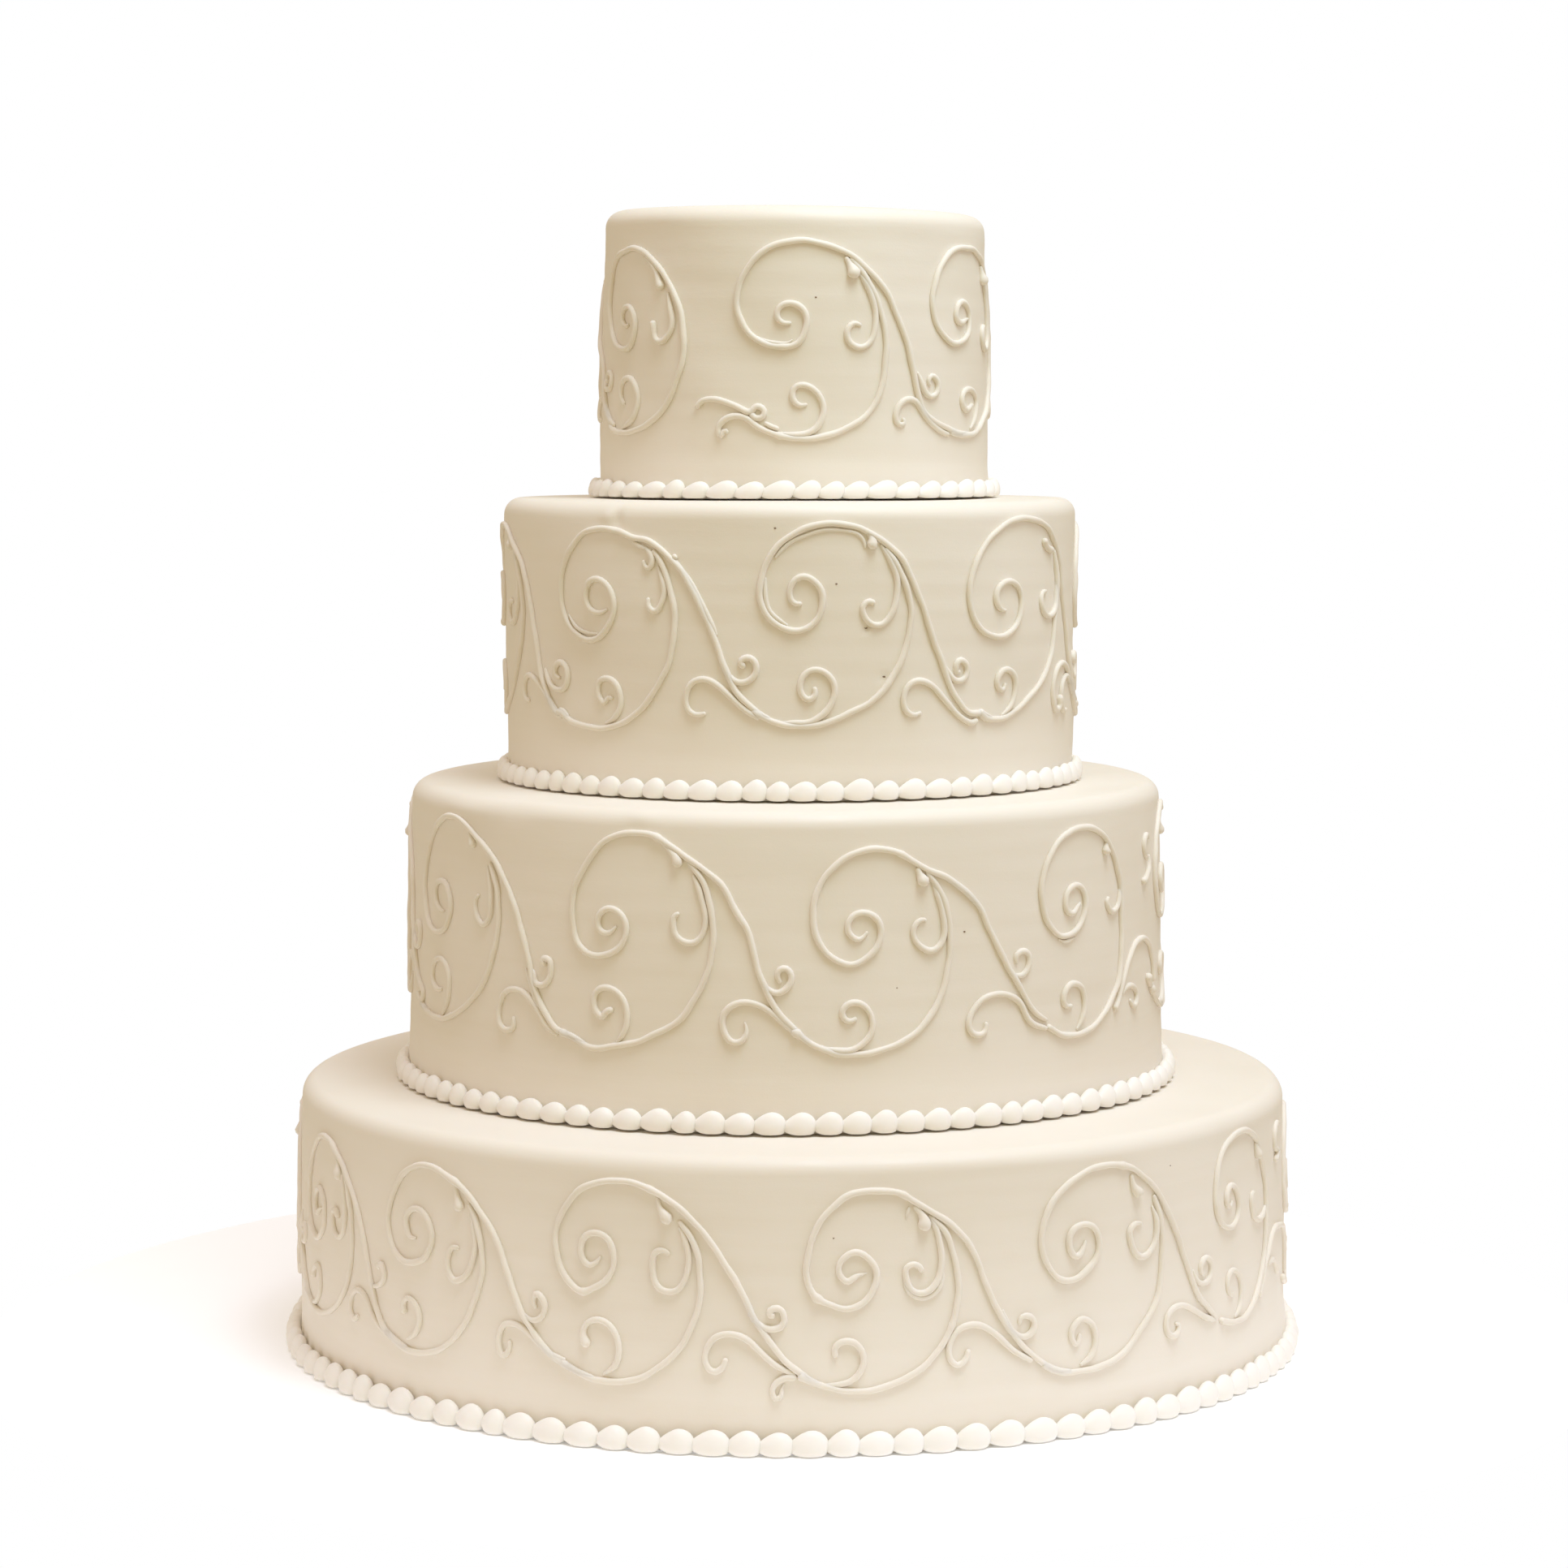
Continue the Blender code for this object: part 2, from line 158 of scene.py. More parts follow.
MOTIF_SECOND = Motif(
    centre=18, low=29.2, high=107.8, wide=60,
    head=Line([
        (4.6, 76.6), (1.9, 76.7), (0, 79.1), (0, 82.8), (1.9, 85.9), (5.2, 87.2),
        (9.4, 85.4), (11.9, 81.6), (12.4, 76.6), (10.6, 71), (6.9, 67.4), (2.3, 66.3),
        (-2.2, 67.1), (-6.6, 69.6), (-10, 73.6), (-11.7, 79.1), (-11.5, 85.3), (-9.4, 92.3),
        (-5, 98.9), (1.3, 103.9), (7.5, 106.6), (15, 107.8), (22.5, 107.3), (28.1, 105.5),
        (33.1, 102.8),
    ], start=0.8, knobs=((0, 66.5, 0.2, 2.5),)),
    stem=[(38.8, 98.4), (43.8, 92.6), (48.2, 85.8), (52.2, 78.4), (56.2, 70.2)],
    landing=[(-28, 55.6), (-25, 48.6), (-20.6, 42.2), (-15, 36.7), (-9.4, 33)],
    bowl=Line([
        (-15, 35.4), (-11.4, 33.3), (-7.5, 31.4), (0, 29.5), (7.5, 29.4), (15, 31),
        (23.8, 34.6), (31.3, 38.5), (37.3, 43.6), (42, 50.5), (45.6, 58.4), (47.6, 66.6),
        (48, 73.4), (46.8, 80.5), (44.2, 87), (40.8, 93), (37, 98.6),
    ], start=1.1, knobs=((40, 45.6, 0.12, 2.5), (-12.4, 33.8, 0.3, 1.4))),
    twigs={
        "hook": Line([
            (35.4, 99.8), (38.6, 95), (41, 90), (42.2, 84.1), (41.6, 77.4), (39.3, 71.9),
            (35.6, 68.7), (31.4, 69), (28.6, 72.2), (28.3, 75.8), (30.6, 77.7), (33.1, 76.7)],
            end=0.95),
        "drip": Line([(30.3, 104.6), (31.8, 102.2), (31.8, 99.8), (31, 98.1)], 0.9, 2.0),
        "curl": Line([
            (-3, 30.6), (2, 30.5), (7.5, 31), (11.9, 33.4), (15.6, 37.4), (17.4, 42.2),
            (16.3, 47.2), (13.1, 50.4), (8.8, 51.2), (5.2, 49.1), (3.8, 45.3), (4.6, 41.8),
            (7.2, 39.7), (9.6, 41.5), (9.2, 44.6)], end=0.75),
        "spray": Line([
            (-11.8, 32.2), (-16, 34.4), (-20.6, 38), (-25.6, 42.8), (-30.6, 46.2), (-35, 47.3),
            (-39.3, 45.2), (-41.4, 40.9), (-40.8, 36.1), (-37.6, 33.4), (-33.2, 33.9)], 1.1),
        "tendril": Line([
            (-27.6, 55), (-26, 51.2), (-23, 47.6), (-18.9, 46.1), (-15.2, 47.6), (-13.2, 51),
            (-14.1, 54.6), (-16.7, 55.8), (-19.2, 54.1), (-17.4, 51.9)], end=1.2),
    },
    extras=[
        Line([(-5.9, 94.4), (-3.6, 97.3), (0.2, 100.5), (5, 103), (10, 104.6), (16.3, 105.4),
              (22, 104.8), (26.3, 103.8), (28.4, 101.3), (29, 98.2)], 0.7, 0.8, 0.62),
        Line([(-9.6, 87), (-9.6, 80), (-8.2, 74.8), (-4.6, 70.6), (-0.9, 68.2)], 0.5, 0.6, 0.75),
        Line([(-46, 93.6), (-41, 87.2), (-36.4, 79.8), (-32, 71.4), (-28.8, 64)], 0.5, 0.5, 0.85),
    ],
)

MOTIF_TOP = Motif(
    centre=6.5, low=23.8, high=101.5, wide=61,
    head=Line([
        (-1.2, 69.4), (-4.2, 69.2), (-6.8, 71.4), (-6.2, 75), (-1.7, 76.9), (2.8, 75.1),
        (4.8, 70.6), (4, 65.9), (1.6, 61.9), (-1.6, 60.1), (-5.6, 59.8), (-10.4, 60.6),
        (-15, 62.9), (-19.4, 67), (-22.2, 72), (-23.3, 76.8), (-22.6, 82.2), (-20.6, 87.9),
        (-16.9, 93.4), (-11.3, 98.2), (-5, 100.7), (2.5, 101.6), (10, 100.5), (15, 99.2),
        (21.4, 96.6),
    ], start=0.7, knobs=((-4.6, 60, 0.2, 1.6),)),
    stem=[(25.8, 93.6), (30.6, 89.3), (35.6, 83.8), (40.1, 76.4), (44, 68.4)],
    landing=[(-31, 50.4), (-28.4, 42), (-24.4, 34.6), (-19, 29.8), (-12.5, 26.9)],
    bowl=Line([
        (-19, 28.6), (-14.6, 26.4), (-10.6, 25.3), (-5.6, 24.5), (2, 24), (10, 24.4),
        (17.5, 26.7), (23.8, 29.8), (28.8, 33.1), (32.5, 38), (35.2, 44.2), (36.6, 50.4),
        (37.2, 58.6), (36.9, 66.1), (35.4, 72.8), (33, 79.2), (29.8, 85.4), (26, 91), (22, 95),
    ], start=1.1, knobs=((-16, 27, 0.3, 1.4),)),
    twigs={
        "hook": Line([
            (25.2, 90.6), (29.2, 84.4), (31.6, 78.4), (32.6, 72.3), (32.2, 66.1),
            (29.9, 61.6), (26.3, 59.8), (22.5, 61.3), (20.6, 64.8), (21.3, 67.9),
            (23.8, 69.4), (26.6, 68.3)], end=0.6),
        "drip": Line([(20.2, 95.6), (21.8, 92.4), (23.2, 89.6), (23.8, 87)], 0.8, 2.2),
        "curl": Line([
            (-6, 26.2), (0, 25.4), (5, 26.4), (8.8, 28.9), (10.8, 32.4), (11.2, 36.8),
            (9.5, 41), (6.3, 43.9), (2.8, 45.1), (0, 44.2), (-1, 41.6), (-0.2, 38.7),
            (2, 37), (4.9, 37.6)], end=0.6),
        "spray": Line([
            (-16, 28.6), (-21, 32.2), (-26.6, 36.2), (-32, 38.4), (-37, 38.4),
            (-40.4, 35.6), (-40.8, 31.6), (-38.2, 29.4), (-35.4, 30.4)], 0.7),
        "tendril": Line([
            (-29.6, 47), (-27.6, 43.8), (-24.4, 41.6), (-20.6, 42), (-18.6, 45),
            (-20, 48.2), (-23, 48.6), (-24.4, 46.2), (-22.4, 44.6)], end=0.9),
    },
    extras=[
        Line([(-15, 64), (-10.4, 61.9), (-5, 61.3), (-2.2, 61.8), (-0.9, 62.8)], 0.5, 0.4, 0.7),
    ],
)

# The other circles' lines as the photograph shows them, in place of the front's moved there.
BOTTOM_FAR_LEFT = {
    "stem": [(-210.6, 84.9), (-203.7, 77.3), (-198.1, 67.6), (-193.9, 56.4), (-190.5, 46.7),
             (-185.6, 36.3), (-180, 30)],
}
BOTTOM_LEFT = {
    "head": Line([
        (-160.6, 69.2), (-164.1, 69.2), (-166.2, 72.4), (-166.2, 76.6), (-163.4, 79.8),
        (-158.5, 80.3), (-153.7, 77.3), (-151.3, 71.7), (-152.3, 66.2), (-156.4, 61.3),
        (-162.7, 59.2), (-168.9, 59.5), (-174.5, 63.4), (-178, 70.3), (-177.6, 78.7),
        (-173.8, 87), (-167.6, 93.9), (-159.2, 97.7), (-150.9, 97.7), (-143.9, 95.6)],
        knobs=[(-139.8, 93.3, 0.3, 1.4)]),
    "stem": [(-139.8, 93.9), (-134.2, 90.5), (-127.3, 84.2), (-121.7, 78), (-116.9, 70.3),
             (-113.4, 62), (-109.9, 54.4), (-105.1, 45.3), (-98.8, 37.7), (-92.6, 32.1)],
    "bowl": Line([
        (-180.1, 30.1), (-173.1, 26.6), (-164.8, 24.5), (-156.4, 24.8), (-148.1, 27.3),
        (-139.8, 32.8), (-132.8, 41.2), (-128, 50.9), (-125.2, 60.6), (-126.2, 71.7),
        (-129.4, 80.8), (-132.8, 86.3)], 1.15),
    "hook": Line([
        (-132.1, 84.9), (-129.4, 75.9), (-128.9, 68.9), (-130.8, 62), (-134.9, 57.1),
        (-139.1, 56), (-142.3, 59.2), (-142.3, 64.8), (-139.8, 68.3), (-137, 68.3)]),
    "drip": Line([(-139.6, 93), (-138.4, 87.7), (-136.3, 82.8)], 0.7, 1.8),
    "curl": Line([
        (-166.2, 28.7), (-161.3, 31.4), (-158.5, 36.3), (-159.9, 41.9), (-163.4, 44.6),
        (-166.9, 44.4), (-168.3, 41.9), (-167.3, 38.4)], 0.5, 1.2),
    "spray": Line([
        (-178.7, 28.3), (-184.2, 30.8), (-189.8, 34.2), (-194.6, 39.8), (-199.5, 41.9),
        (-204.4, 40.5), (-207.1, 36.3), (-206.4, 31.4), (-203, 29.8), (-200.9, 32.1)], 0.8, 1.0),
    "tendril": Line([
        (-190.5, 45.3), (-186.3, 46), (-182.1, 48.8), (-181.4, 53), (-183.5, 55.3),
        (-184.9, 53)], 0.6, 1.2),
}
BOTTOM_NEAR_LEFT = {
    "head": Line([
        (-73.5, 71.7), (-75.2, 69.6), (-78, 68.3), (-80.8, 70.3), (-81.7, 74.5), (-80, 78.7),
        (-75.9, 80.5), (-71, 78.7), (-68.3, 73.8), (-68.7, 67.6), (-71.7, 62.7),
        (-76.6, 59.5), (-80, 57.8), (-85.6, 60.6), (-90, 66.2), (-92.3, 73.8), (-91.9, 81.4),
        (-88.4, 89), (-82.8, 95.6), (-74.5, 99.8), (-64.8, 100.9), (-56.4, 99.5)],
        knobs=[(-54.4, 97.5, 0.35, 1.5), (-80, 57.8, 0.3, 1.4)]),
    "stem": [(-49.5, 96.4), (-42.6, 91.9), (-36.3, 86.3), (-30.1, 78.7), (-24.5, 70.3),
             (-19.6, 62), (-16.2, 55.1), (-13.4, 49.5), (-8.5, 42.6), (-3.8, 36.4), (1.5, 31.6)],
    "bowl": Line([
        (-89.8, 30.8), (-82.8, 27.3), (-75.9, 25.2), (-67.6, 24.8), (-57.8, 27),
        (-49.5, 32.1), (-41.9, 39.8), (-37, 49.5), (-34.6, 59.2), (-34.6, 66.2),
        (-35.3, 73.1), (-38.4, 81.4), (-42.6, 87)], 1.3, knobs=[(-90.6, 33, 0.4, 1.6)]),
    "hook": Line([
        (-42.6, 84.9), (-39.8, 78.7), (-39.1, 71.7), (-40.5, 64.8), (-44.6, 60.3),
        (-49.5, 60.9), (-52.6, 65.5), (-53, 71), (-51.6, 74.8), (-48.8, 75.6), (-46.3, 73.8)]),
    "drip": Line([(-50.9, 95.3), (-49.8, 91.2), (-47.4, 87.7), (-47.1, 85.6)], 0.6, 2.0),
    "curl": Line([
        (-72.4, 27), (-67.6, 30.8), (-65.9, 36.3), (-66.9, 41.9), (-70.3, 46.7),
        (-75.2, 47.7), (-79.4, 45.3), (-80.3, 41.2), (-78, 37.3)], 0.5, 1.5),
    "spray": Line([
        (-87.7, 31), (-93.3, 32.8), (-99.5, 37), (-105.1, 40.9), (-110.6, 42.8),
        (-114.8, 41.9), (-116.9, 37.7), (-116.9, 32.8), (-115.1, 30.1), (-112.7, 32.1),
        (-112, 36.3)], 0.8),
    "tendril": Line([
        (-105.8, 47.4), (-101.6, 45.1), (-98.1, 46.7), (-96.4, 50.9), (-98.1, 54.4),
        (-100.2, 55.3), (-101.2, 53.7), (-100.2, 49.5)]),
}
BOTTOM_FRONT = {
    "stem": [(60, 84.5), (65, 79.5), (70, 70.8), (74.4, 59.5), (79, 50), (84.5, 41.8),
             (89.6, 35.6), (95, 31)],
}
BOTTOM_NEAR_RIGHT = {
    "head": Line([
        (116.8, 73.8), (115.8, 71.4), (112.6, 68.2), (109.7, 70.8), (109.1, 74.9),
        (110.9, 78.5), (115, 80.2), (119.7, 79.1), (122.6, 74.9), (122.9, 70.2),
        (120.9, 65.5), (116.8, 62), (110.3, 59.3), (104.4, 60.8), (99.7, 66.1),
        (97.1, 73.2), (97.4, 80.2), (100.3, 88.5), (106.2, 94.9), (114.4, 99.6),
        (123.8, 101.6), (132.1, 101.2), (139.1, 99.1)], knobs=[(134.4, 100.6, 0.3, 1.2)]),
    "stem": [(145, 95.5), (150.9, 90.8), (155.6, 84.9), (160.3, 77.9), (165, 69.6),
             (169.1, 61.4), (173.2, 53.2), (177.9, 44.9), (185, 37.9), (192.1, 32)],
    "bowl": Line([
        (96.8, 29.1), (102.6, 25.5), (110.3, 24), (119.1, 24), (127.4, 25.2), (135.6, 28.2),
        (142.6, 34.4), (149.7, 41.4), (154.4, 49.6), (155.8, 57.9), (156.2, 66.1),
        (155.4, 74.4), (153.8, 80.8), (150.9, 87.3)], 1.2),
    "hook": Line([
        (150.3, 83.2), (152.6, 76.7), (152.6, 70.8), (149.7, 66.1), (145.6, 64),
        (140.9, 66.7), (138.5, 71.4), (138.5, 75.5), (141.5, 77.5), (144.8, 76.7)]),
    "drip": Line([(139.1, 96.7), (140.3, 92), (143.5, 88.1)], 0.7, 1.9),
    "curl": Line([
        (114.4, 26.1), (119.1, 29.1), (121.7, 33.8), (121.2, 39.1), (118.5, 42.6),
        (115, 43.8), (111.5, 41.4), (110.3, 37.3), (112.6, 34.4), (114.4, 38.5)]),
    "tendril": Line([
        (80.5, 51), (82.6, 45.5), (85.8, 41.4), (89.8, 39.8), (93, 41.7), (93.8, 44.9),
        (91.6, 47.6), (88.4, 47.2), (87.7, 44.4)]),
}
BOTTOM_RIGHT = {
    "head": Line([
        (205.6, 76.7), (203.8, 74.6), (200.9, 76.1), (200.9, 80.2), (203.8, 82.6), (207.4, 82),
        (210.1, 78.5), (211.5, 73.2), (209.7, 69.1), (204.4, 66.4), (197.9, 67.9),
        (193.2, 73.2), (191.8, 80.2), (193.2, 88.5), (196.8, 95.5), (202.6, 100.2),
        (209.7, 102.4), (217.9, 102.8), (225, 100.8), (230.9, 96.7), (235, 90.8),
        (239.1, 83.8), (242.1, 75.5), (242.6, 67.3), (242.1, 59.1), (240.9, 49.6),
        (236.8, 42.6), (230.9, 35.5), (223.8, 30.8), (214.4, 27.9), (206.2, 28.2),
        (199.1, 29.6), (194.4, 31.1)], 0.6, 1.1),
    "stem": None,
    "bowl": None,
    "hook": Line([
        (242.1, 68.5), (237.9, 64.9), (232.1, 64.4), (227.4, 66.7), (225, 71.4),
        (225, 75.5), (227.4, 76.7)], 0.8, 0.9),
    "drip": Line([(230.4, 96), (232, 92), (232.6, 89)], 0.8, 2.1),
    "curl": Line([
        (207.4, 29.6), (212.1, 33.2), (213.8, 39.1), (212.1, 44.9), (207.9, 48.5),
        (203.8, 48.5), (201.5, 44.9), (203.2, 40.2), (206.8, 39.1)]),
    "spray": Line([
        (192.6, 31.4), (186.2, 33.2), (179.1, 36.7), (172.1, 40.2), (166.2, 41.8),
        (161.5, 40.8), (158.9, 37.3), (159.1, 33.2), (162.1, 30.6), (165.6, 31.4),
        (166.2, 34.4), (164.1, 34.9)]),
    "tendril": Line([
        (175.6, 54.4), (177.9, 49.6), (182.1, 47.9), (186.8, 49.1), (188.5, 53.2),
        (186.8, 56.7), (183.8, 57.6), (181.5, 56.1), (180.9, 53.2), (183.5, 51)]),
    "rise": Line([
        (232.1, 33.4), (236.8, 36.7), (241.5, 42.6), (247.4, 48.5), (253.2, 54.4),
        (259.1, 56.1), (266.2, 55.5), (273.2, 54.4), (280.3, 52), (286, 46.5), (291, 38.5),
        (294, 30.6)], 1.3, 0.8),
    "low curl": Line([(248.5, 42.6), (253.2, 43.8), (257.9, 42.6), (261.5, 39.1), (265, 36.7)],
                     0.5, 1.2),
    "high curl": Line([
        (268, 96), (263.6, 98.4), (259.2, 96.2), (258, 91.6), (260.4, 88), (263.6, 87.4),
        (262, 84.6), (258.8, 84.4)], 0.8, 1.2),
}
THIRD_LEFT = {
    "head": Line([
        (-166, 75.5), (-169, 76), (-173, 78), (-174.5, 82), (-173.5, 86), (-169.5, 87.5),
        (-164.5, 86.5), (-160.5, 82), (-160, 77), (-162, 72), (-166, 68), (-172, 66.5),
        (-179, 68), (-184, 73), (-187.5, 84), (-186.5, 92), (-183.5, 99), (-178, 106.5),
        (-171, 111.5), (-163, 114), (-155, 114.5)]),
    "stem": [(-149, 113), (-144, 110), (-138, 106.5), (-132, 102.5), (-126, 97), (-120, 89),
             (-115, 80), (-111, 70), (-107.5, 60), (-105.5, 53), (-102, 46), (-97.5, 40),
             (-93, 36)],
    "bowl": Line([
        (-196, 39), (-190, 35.5), (-183, 33), (-174, 32), (-165, 32.5), (-156, 35),
        (-148, 39), (-140, 44.5), (-134, 51), (-129.5, 60), (-126.5, 70), (-125.7, 79),
        (-126.5, 87), (-128.5, 93), (-132, 98.5)], 1.15),
    "hook": Line([
        (-133.5, 97), (-131.5, 91), (-130.5, 84), (-131.5, 77), (-135, 73.5), (-138.5, 75),
        (-141, 79), (-140.7, 83), (-138.5, 84.8)]),
    "drip": Line([(-146, 109.6), (-144, 106.4), (-142.6, 103)], 0.7, 1.6),
    "curl": Line([
        (-167, 33), (-162, 39), (-160, 46), (-161, 52), (-165, 55.5), (-170, 56),
        (-174.5, 54), (-176.5, 50), (-175.5, 46), (-172, 43.8), (-167, 44.2)]),
}
THIRD_NEAR_LEFT = {
    "head": Line([
        (-67, 78), (-69.5, 75.5), (-72, 75.2), (-74.5, 77), (-75, 80.5), (-73, 83.5),
        (-69.5, 84.7), (-65.5, 83.2), (-63, 79), (-63, 74), (-65.5, 70), (-70, 67.2),
        (-75.5, 66.2), (-80.5, 67.2), (-84, 70.5), (-86, 76), (-86.7, 83), (-86, 90),
        (-83.5, 96), (-79.5, 102.5), (-74, 109), (-67, 113), (-59, 114.2), (-51, 113)],
        knobs=[(-50, 112.6, 0.3, 1.5)]),
    "stem": [(-46, 110.5), (-40, 106.5), (-34, 102.5), (-28, 98.5), (-23, 93), (-20, 87),
             (-15.6, 80.2), (-12.5, 70.9), (-10, 61.6), (-6.9, 54.1), (-3.1, 47.2),
             (1.9, 41.6)],
    "bowl": Line([
        (-92, 35.5), (-86, 33.5), (-80, 31), (-74.5, 30.2), (-68, 31.5), (-59, 33.5),
        (-50, 37.5), (-41, 43), (-36, 49.5), (-31.5, 58), (-28.5, 67), (-27.7, 77),
        (-28.5, 85), (-30.5, 93), (-34, 99.5), (-38, 104)], 1.4,
        knobs=[(-93.4, 35.5, 0.5, 1.8)]),
    "hook": Line([
        (-36, 99), (-34, 95), (-32, 89), (-30.8, 82), (-32, 76), (-35.5, 72.8), (-39, 73),
        (-42.5, 76), (-43.5, 80), (-43, 83), (-41, 84)]),
    "drip": Line([(-48, 110.5), (-44, 107), (-42, 104.5), (-41.5, 101.5)], 0.6, 1.7),
    "curl": Line([
        (-67, 32.5), (-63.5, 37), (-62.2, 43), (-63.5, 49), (-67, 53), (-71.5, 54),
        (-75.5, 52), (-76.5, 48), (-75, 44), (-72.5, 42.5), (-71, 44.5), (-68, 45.5)],
        0.5, 1.1),
    "spray": Line([
        (-93, 34), (-97, 36), (-101, 40), (-105.5, 45.5), (-110, 48.5), (-116, 49.8),
        (-121, 48), (-123.8, 44), (-124.5, 39), (-123, 34.5), (-119.5, 33.2), (-116, 35),
        (-116.3, 39)], 0.9),
    "tendril": Line([
        (-107, 58.6), (-105.5, 57), (-104.5, 53.5), (-101.5, 52.5), (-98, 55), (-96.8, 59),
        (-98, 63), (-100.5, 63), (-100, 60)], 0.5, 1.2),
    "side": Line([(-110, 58.5), (-107.5, 54), (-105, 48), (-101, 42)], 0.6, 0.5, 0.8),
}
THIRD_FRONT = {
    "stem": [(63.8, 96.6), (68.8, 93.4), (73.8, 89.1), (78.2, 84), (81.4, 77.7), (86, 69),
             (91, 60.5), (96, 52.9), (99.3, 47.9), (103.5, 42.5), (107.7, 39.2),
             (110.6, 37.9)],
}
THIRD_RIGHT = {
    "head": Line([
        (130.2, 82.5), (128, 81.2), (125.2, 78.8), (122.7, 79.2), (121, 81.3), (121, 84.2),
        (122.7, 87.9), (126.4, 89.6), (130.2, 88.8), (132.7, 85.8), (133.3, 82.5),
        (132.3, 78.3), (129.8, 74.2), (126.4, 71.7), (122.7, 70.3), (118.5, 70.4),
        (114.3, 72.9), (111, 76.3), (108.5, 81.7), (107.7, 87.5), (108.5, 94.2),
        (111, 100.4), (114.3, 105), (119.3, 109.2), (124.3, 111.3), (130.2, 112.1),
        (136, 111.7), (141, 110.4), (146, 107.9), (150.2, 103.8), (153.5, 100), (156.4, 95),
        (158.9, 89.2), (160, 83.3), (160.3, 75), (160.2, 66.7), (159.3, 58.3),
        (157.3, 50.8), (153.5, 45), (147.7, 39.2), (141.8, 35), (136, 32.1), (129.3, 30.7),
        (122.7, 30.8), (116.8, 32.1), (112.7, 34.2), (110.2, 35.8)], 0.5, 1.1),
    "stem": None,
    "bowl": None,
    "ring side": Line([(127.3, 69), (124.8, 68.8), (121, 67.9), (117, 69.2)], 0.5, 0.5, 0.7),
    "hook": Line([
        (159.6, 87), (158.9, 83.3), (157.3, 79.2), (154.3, 77.1), (151.4, 77.1),
        (149.3, 79.2), (148.5, 81.7), (150.2, 82.7)]),
    "drip": Line([(148.6, 105), (148, 102.4), (147.3, 100)], 0.8, 1.9),
    "curl": Line([
        (127.3, 32.5), (130.2, 35.8), (131.8, 40), (131.8, 45), (130.2, 48.8),
        (126.8, 50.8), (123.5, 51), (121, 49.2), (119.8, 46.3), (120.2, 43.3), (122.7, 42.1),
        (124.8, 42.5)]),
    "spray": Line([
        (110.4, 34.6), (108.5, 35.4), (104.3, 36.7), (100.2, 40), (96, 46.7), (91, 49.6),
        (86, 50.4), (80.6, 49.4), (76.2, 46.6), (73, 42), (73.2, 37.4), (76.2, 35.2),
        (79.6, 36.2), (80.6, 40)], 0.9),
    "tendril": Line([
        (91.4, 60.4), (93, 57.8), (96, 56.6), (99.4, 58), (101.4, 61.4), (100.8, 65),
        (97.8, 66.2), (95, 64.4), (95.4, 61.4)]),
    "rise": Line([
        (152.7, 37.5), (156, 40.8), (160.2, 47.5), (164.3, 53.3), (169.3, 58.3),
        (174.3, 61.7), (180.2, 62.9), (186, 62.1), (191.8, 59.2), (196, 54.2),
        (197.7, 49.2), (198.6, 43)], 1.1, 1.1),
    "low curl": Line([
        (161, 42.5), (163.5, 45), (166.8, 45.4), (171, 44.2), (173.9, 41.3), (173.5, 38.8),
        (171, 36.7), (168.5, 37.9), (166.8, 40)]),
    "blob": Line([(188.5, 47.5), (190.4, 44.6), (193, 42.4), (196, 41.7)], 1.5, 1.1),
    "nine": Line([
        (193, 102), (189.3, 104.2), (186, 102.9), (185.2, 99.2), (187.7, 95.8), (190.2, 94.2)]),
    "nine tail": Line([
        (193, 95.8), (192.3, 90.8), (189.3, 87.9), (186.8, 86.3), (183, 86)], 0.6, 1.3),
}
SECOND_FAR_LEFT = {
    "stem": [(-133.4, 87), (-130.6, 81.4), (-128, 74.5), (-124.7, 65.3), (-121.3, 55.3),
             (-118, 46.2), (-113.8, 39.5), (-108.8, 33.7), (-103.8, 30.8)],
}
